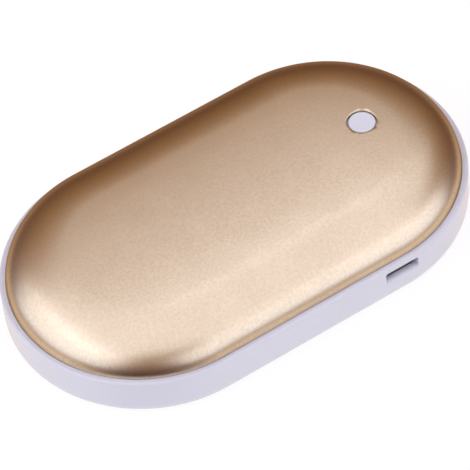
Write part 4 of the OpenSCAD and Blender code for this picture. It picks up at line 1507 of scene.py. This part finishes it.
@dataclass(frozen=True)
class Softbox:
    """One softbox: the side it hangs on, how high and how far it is, its size in metres and the light it gives."""

    name: str
    side: Side
    elevation: float
    width: float
    height: float
    radiance: float
    distance: float = 1.2
    colour: str = "#E2ECFF"

    def build(self) -> None:
        """Hang the softbox and aim it at the object."""
        away = way_to(self.side.value, self.elevation)
        light = bpy.data.lights.new(self.name, "AREA")
        light.shape = "RECTANGLE"
        light.size, light.size_y = self.width, self.height
        light.energy = self.radiance * math.pi * self.width * self.height
        light.color = linear(self.colour)[:3]
        lamp = bpy.data.objects.new(self.name, light)
        lamp.location = away * self.distance
        lamp.rotation_euler = away.to_track_quat("Z", "Y").to_euler()
        bpy.context.scene.collection.objects.link(lamp)


@dataclass
class Studio:
    """Floor and light: white softboxes in a room of warm wood tones, whose colour the gold picks up."""

    floor_size: float = 6.0
    floor_gap: float = 0.02 * MM
    lamps: tuple[Softbox, ...] = (
        Softbox("ceiling_softbox", Side.ABOVE, 89.5, 2.48, 1.92, 1.05),
        Softbox("left_softbox", Side.LEFT, 25.8, 2.04, 1.16, 1.41),
        Softbox("front_softbox", Side.FRONT, 22.0, 1.95, 0.97, 1.41),
        Softbox("small_back_lamp", Side.BACK, 58.0, 0.18, 0.05, 6.9),
    )
    # height of the direction from -1 to 1, and the room's colour there
    room: tuple[tuple[float, str], ...] = (
        (-0.24, "#FBE3CB"), (-0.16, "#571900"), (0.10, "#571900"), (0.22, "#764B00"), (0.60, "#8E5F00"),
    )
    # the room lies in shade low on the camera's side: the way there, where the shade starts and is full, by how
    # closely a direction faces that way and by its height, and the colour
    shade_way: Triple = (-0.60, -0.80, -0.35)
    shade_facing: tuple[float, float] = (0.7, 1.0)
    shade_height: tuple[float, float] = (-0.1, -0.2)
    shade: str = "#3A1000"

    def build(self) -> None:
        """Lay the floor, hang the softboxes and paint the room."""
        floor = start(
            "floor", bpy.ops.mesh.primitive_plane_add, size=self.floor_size, location=(0, 0, -self.floor_gap)
        )
        floor.data.materials.append(FLOOR.material())
        floor.visible_glossy = False
        for lamp in self.lamps:
            lamp.build()
        self.paint_room()
        bpy.context.scene.view_settings.view_transform = "Standard"

    def paint_room(self) -> None:
        """Give the world the room's colours, in bands from below the table to the ceiling, and its shaded part."""
        world = bpy.data.worlds.new("warm_studio")
        bpy.context.scene.world = world
        world.use_nodes = True
        tree = world.node_tree
        way = add_node(tree, "ShaderNodeTexCoord").outputs["Generated"]
        height = add_node(tree, "ShaderNodeSeparateXYZ", {"Vector": way}).outputs["Z"]
        both = {0: way, 1: self.shade_way}
        toward = add_node(tree, "ShaderNodeVectorMath", both, operation="DOT_PRODUCT").outputs["Value"]
        spans = ((height, -1.0, 1.0), (toward, *self.shade_facing), (height, *self.shade_height))
        level, facing, low = [
            add_node(tree, "ShaderNodeMapRange", {"Value": v, "From Min": first, "From Max": last}).outputs["Result"]
            for v, first, last in spans
        ]
        ramp = add_node(tree, "ShaderNodeValToRGB", {"Fac": level})
        stops = ramp.color_ramp.elements
        while len(stops) < len(self.room):
            stops.new(0.5)
        for stop, (place, colour) in zip(stops, self.room):
            stop.position = (place + 1) / 2
            stop.color = linear(colour)
        dark = add_node(tree, "ShaderNodeMath", {0: facing, 1: low}, operation="MULTIPLY").outputs["Value"]
        colours = {"Factor": dark, 6: ramp.outputs["Color"], 7: linear(self.shade)}
        mixed = add_node(tree, "ShaderNodeMix", colours, data_type="RGBA")
        tree.links.new(mixed.outputs[2], tree.nodes["Background"].inputs["Color"])


@dataclass
class PhotoCamera:
    """The photograph's camera, solved from the outline of the cover and the case.

    The aim is the middle of the object at the height of the rim. The middle lies a little off the picture's middle,
    which is made by moving the camera sideways, so that the lens needs no shift.
    """

    turn: float = -29.0
    elevation: float = 49.95
    roll: float = -5.98
    distance: float = 728.1 * MM
    frame_pixels: int = 470
    focal_pixels: float = 3409.94
    aim_height: float = 10.4 * MM
    aim_pixel: tuple[float, float] = (235.47, 217.5)

    def build(self) -> None:
        """Make the camera and let the scene use it."""
        back, az, roll = way_to(self.turn, self.elevation), math.radians(self.turn), math.radians(self.roll)
        level = Vector((math.cos(az), math.sin(az), 0))
        rise = back.cross(level)
        right = level * math.cos(roll) + rise * math.sin(roll)
        up = rise * math.cos(roll) - level * math.sin(roll)
        half, metres = self.frame_pixels / 2, self.distance / self.focal_pixels
        place = Vector((0, 0, self.aim_height)) + back * self.distance
        place -= right * (self.aim_pixel[0] - half) * metres
        place += up * (self.aim_pixel[1] - half) * metres
        lens = bpy.data.cameras.new("photo_camera")
        lens.lens = self.focal_pixels / self.frame_pixels * lens.sensor_width
        lens.clip_start, lens.clip_end = 0.01, 20
        camera = bpy.data.objects.new("photo_camera", lens)
        camera.matrix_world = Matrix.Translation(place) @ Matrix((right, up, back)).transposed().to_4x4()
        bpy.context.scene.collection.objects.link(camera)
        bpy.context.scene.camera = camera


def main() -> None:
    """Build the camera, the studio and each sub-assembly in order."""
    logging.basicConfig(level=logging.INFO, format="%(message)s")
    PhotoCamera().build()
    Studio().build()
    dress_cad_nodes()
    plan = Plan()
    kinds = (
        DomedCover, LowerCase, PressButton, ChargingSocket, BoardScrews, FoamPad, SwitchPlunger, SnapDome, PouchCell,
        FoamTape,
    )
    for part in (*(kind(plan) for kind in kinds), *Wiring(plan).leads()):
        part.dress(part.build())


if __name__ == "__main__":
    main()
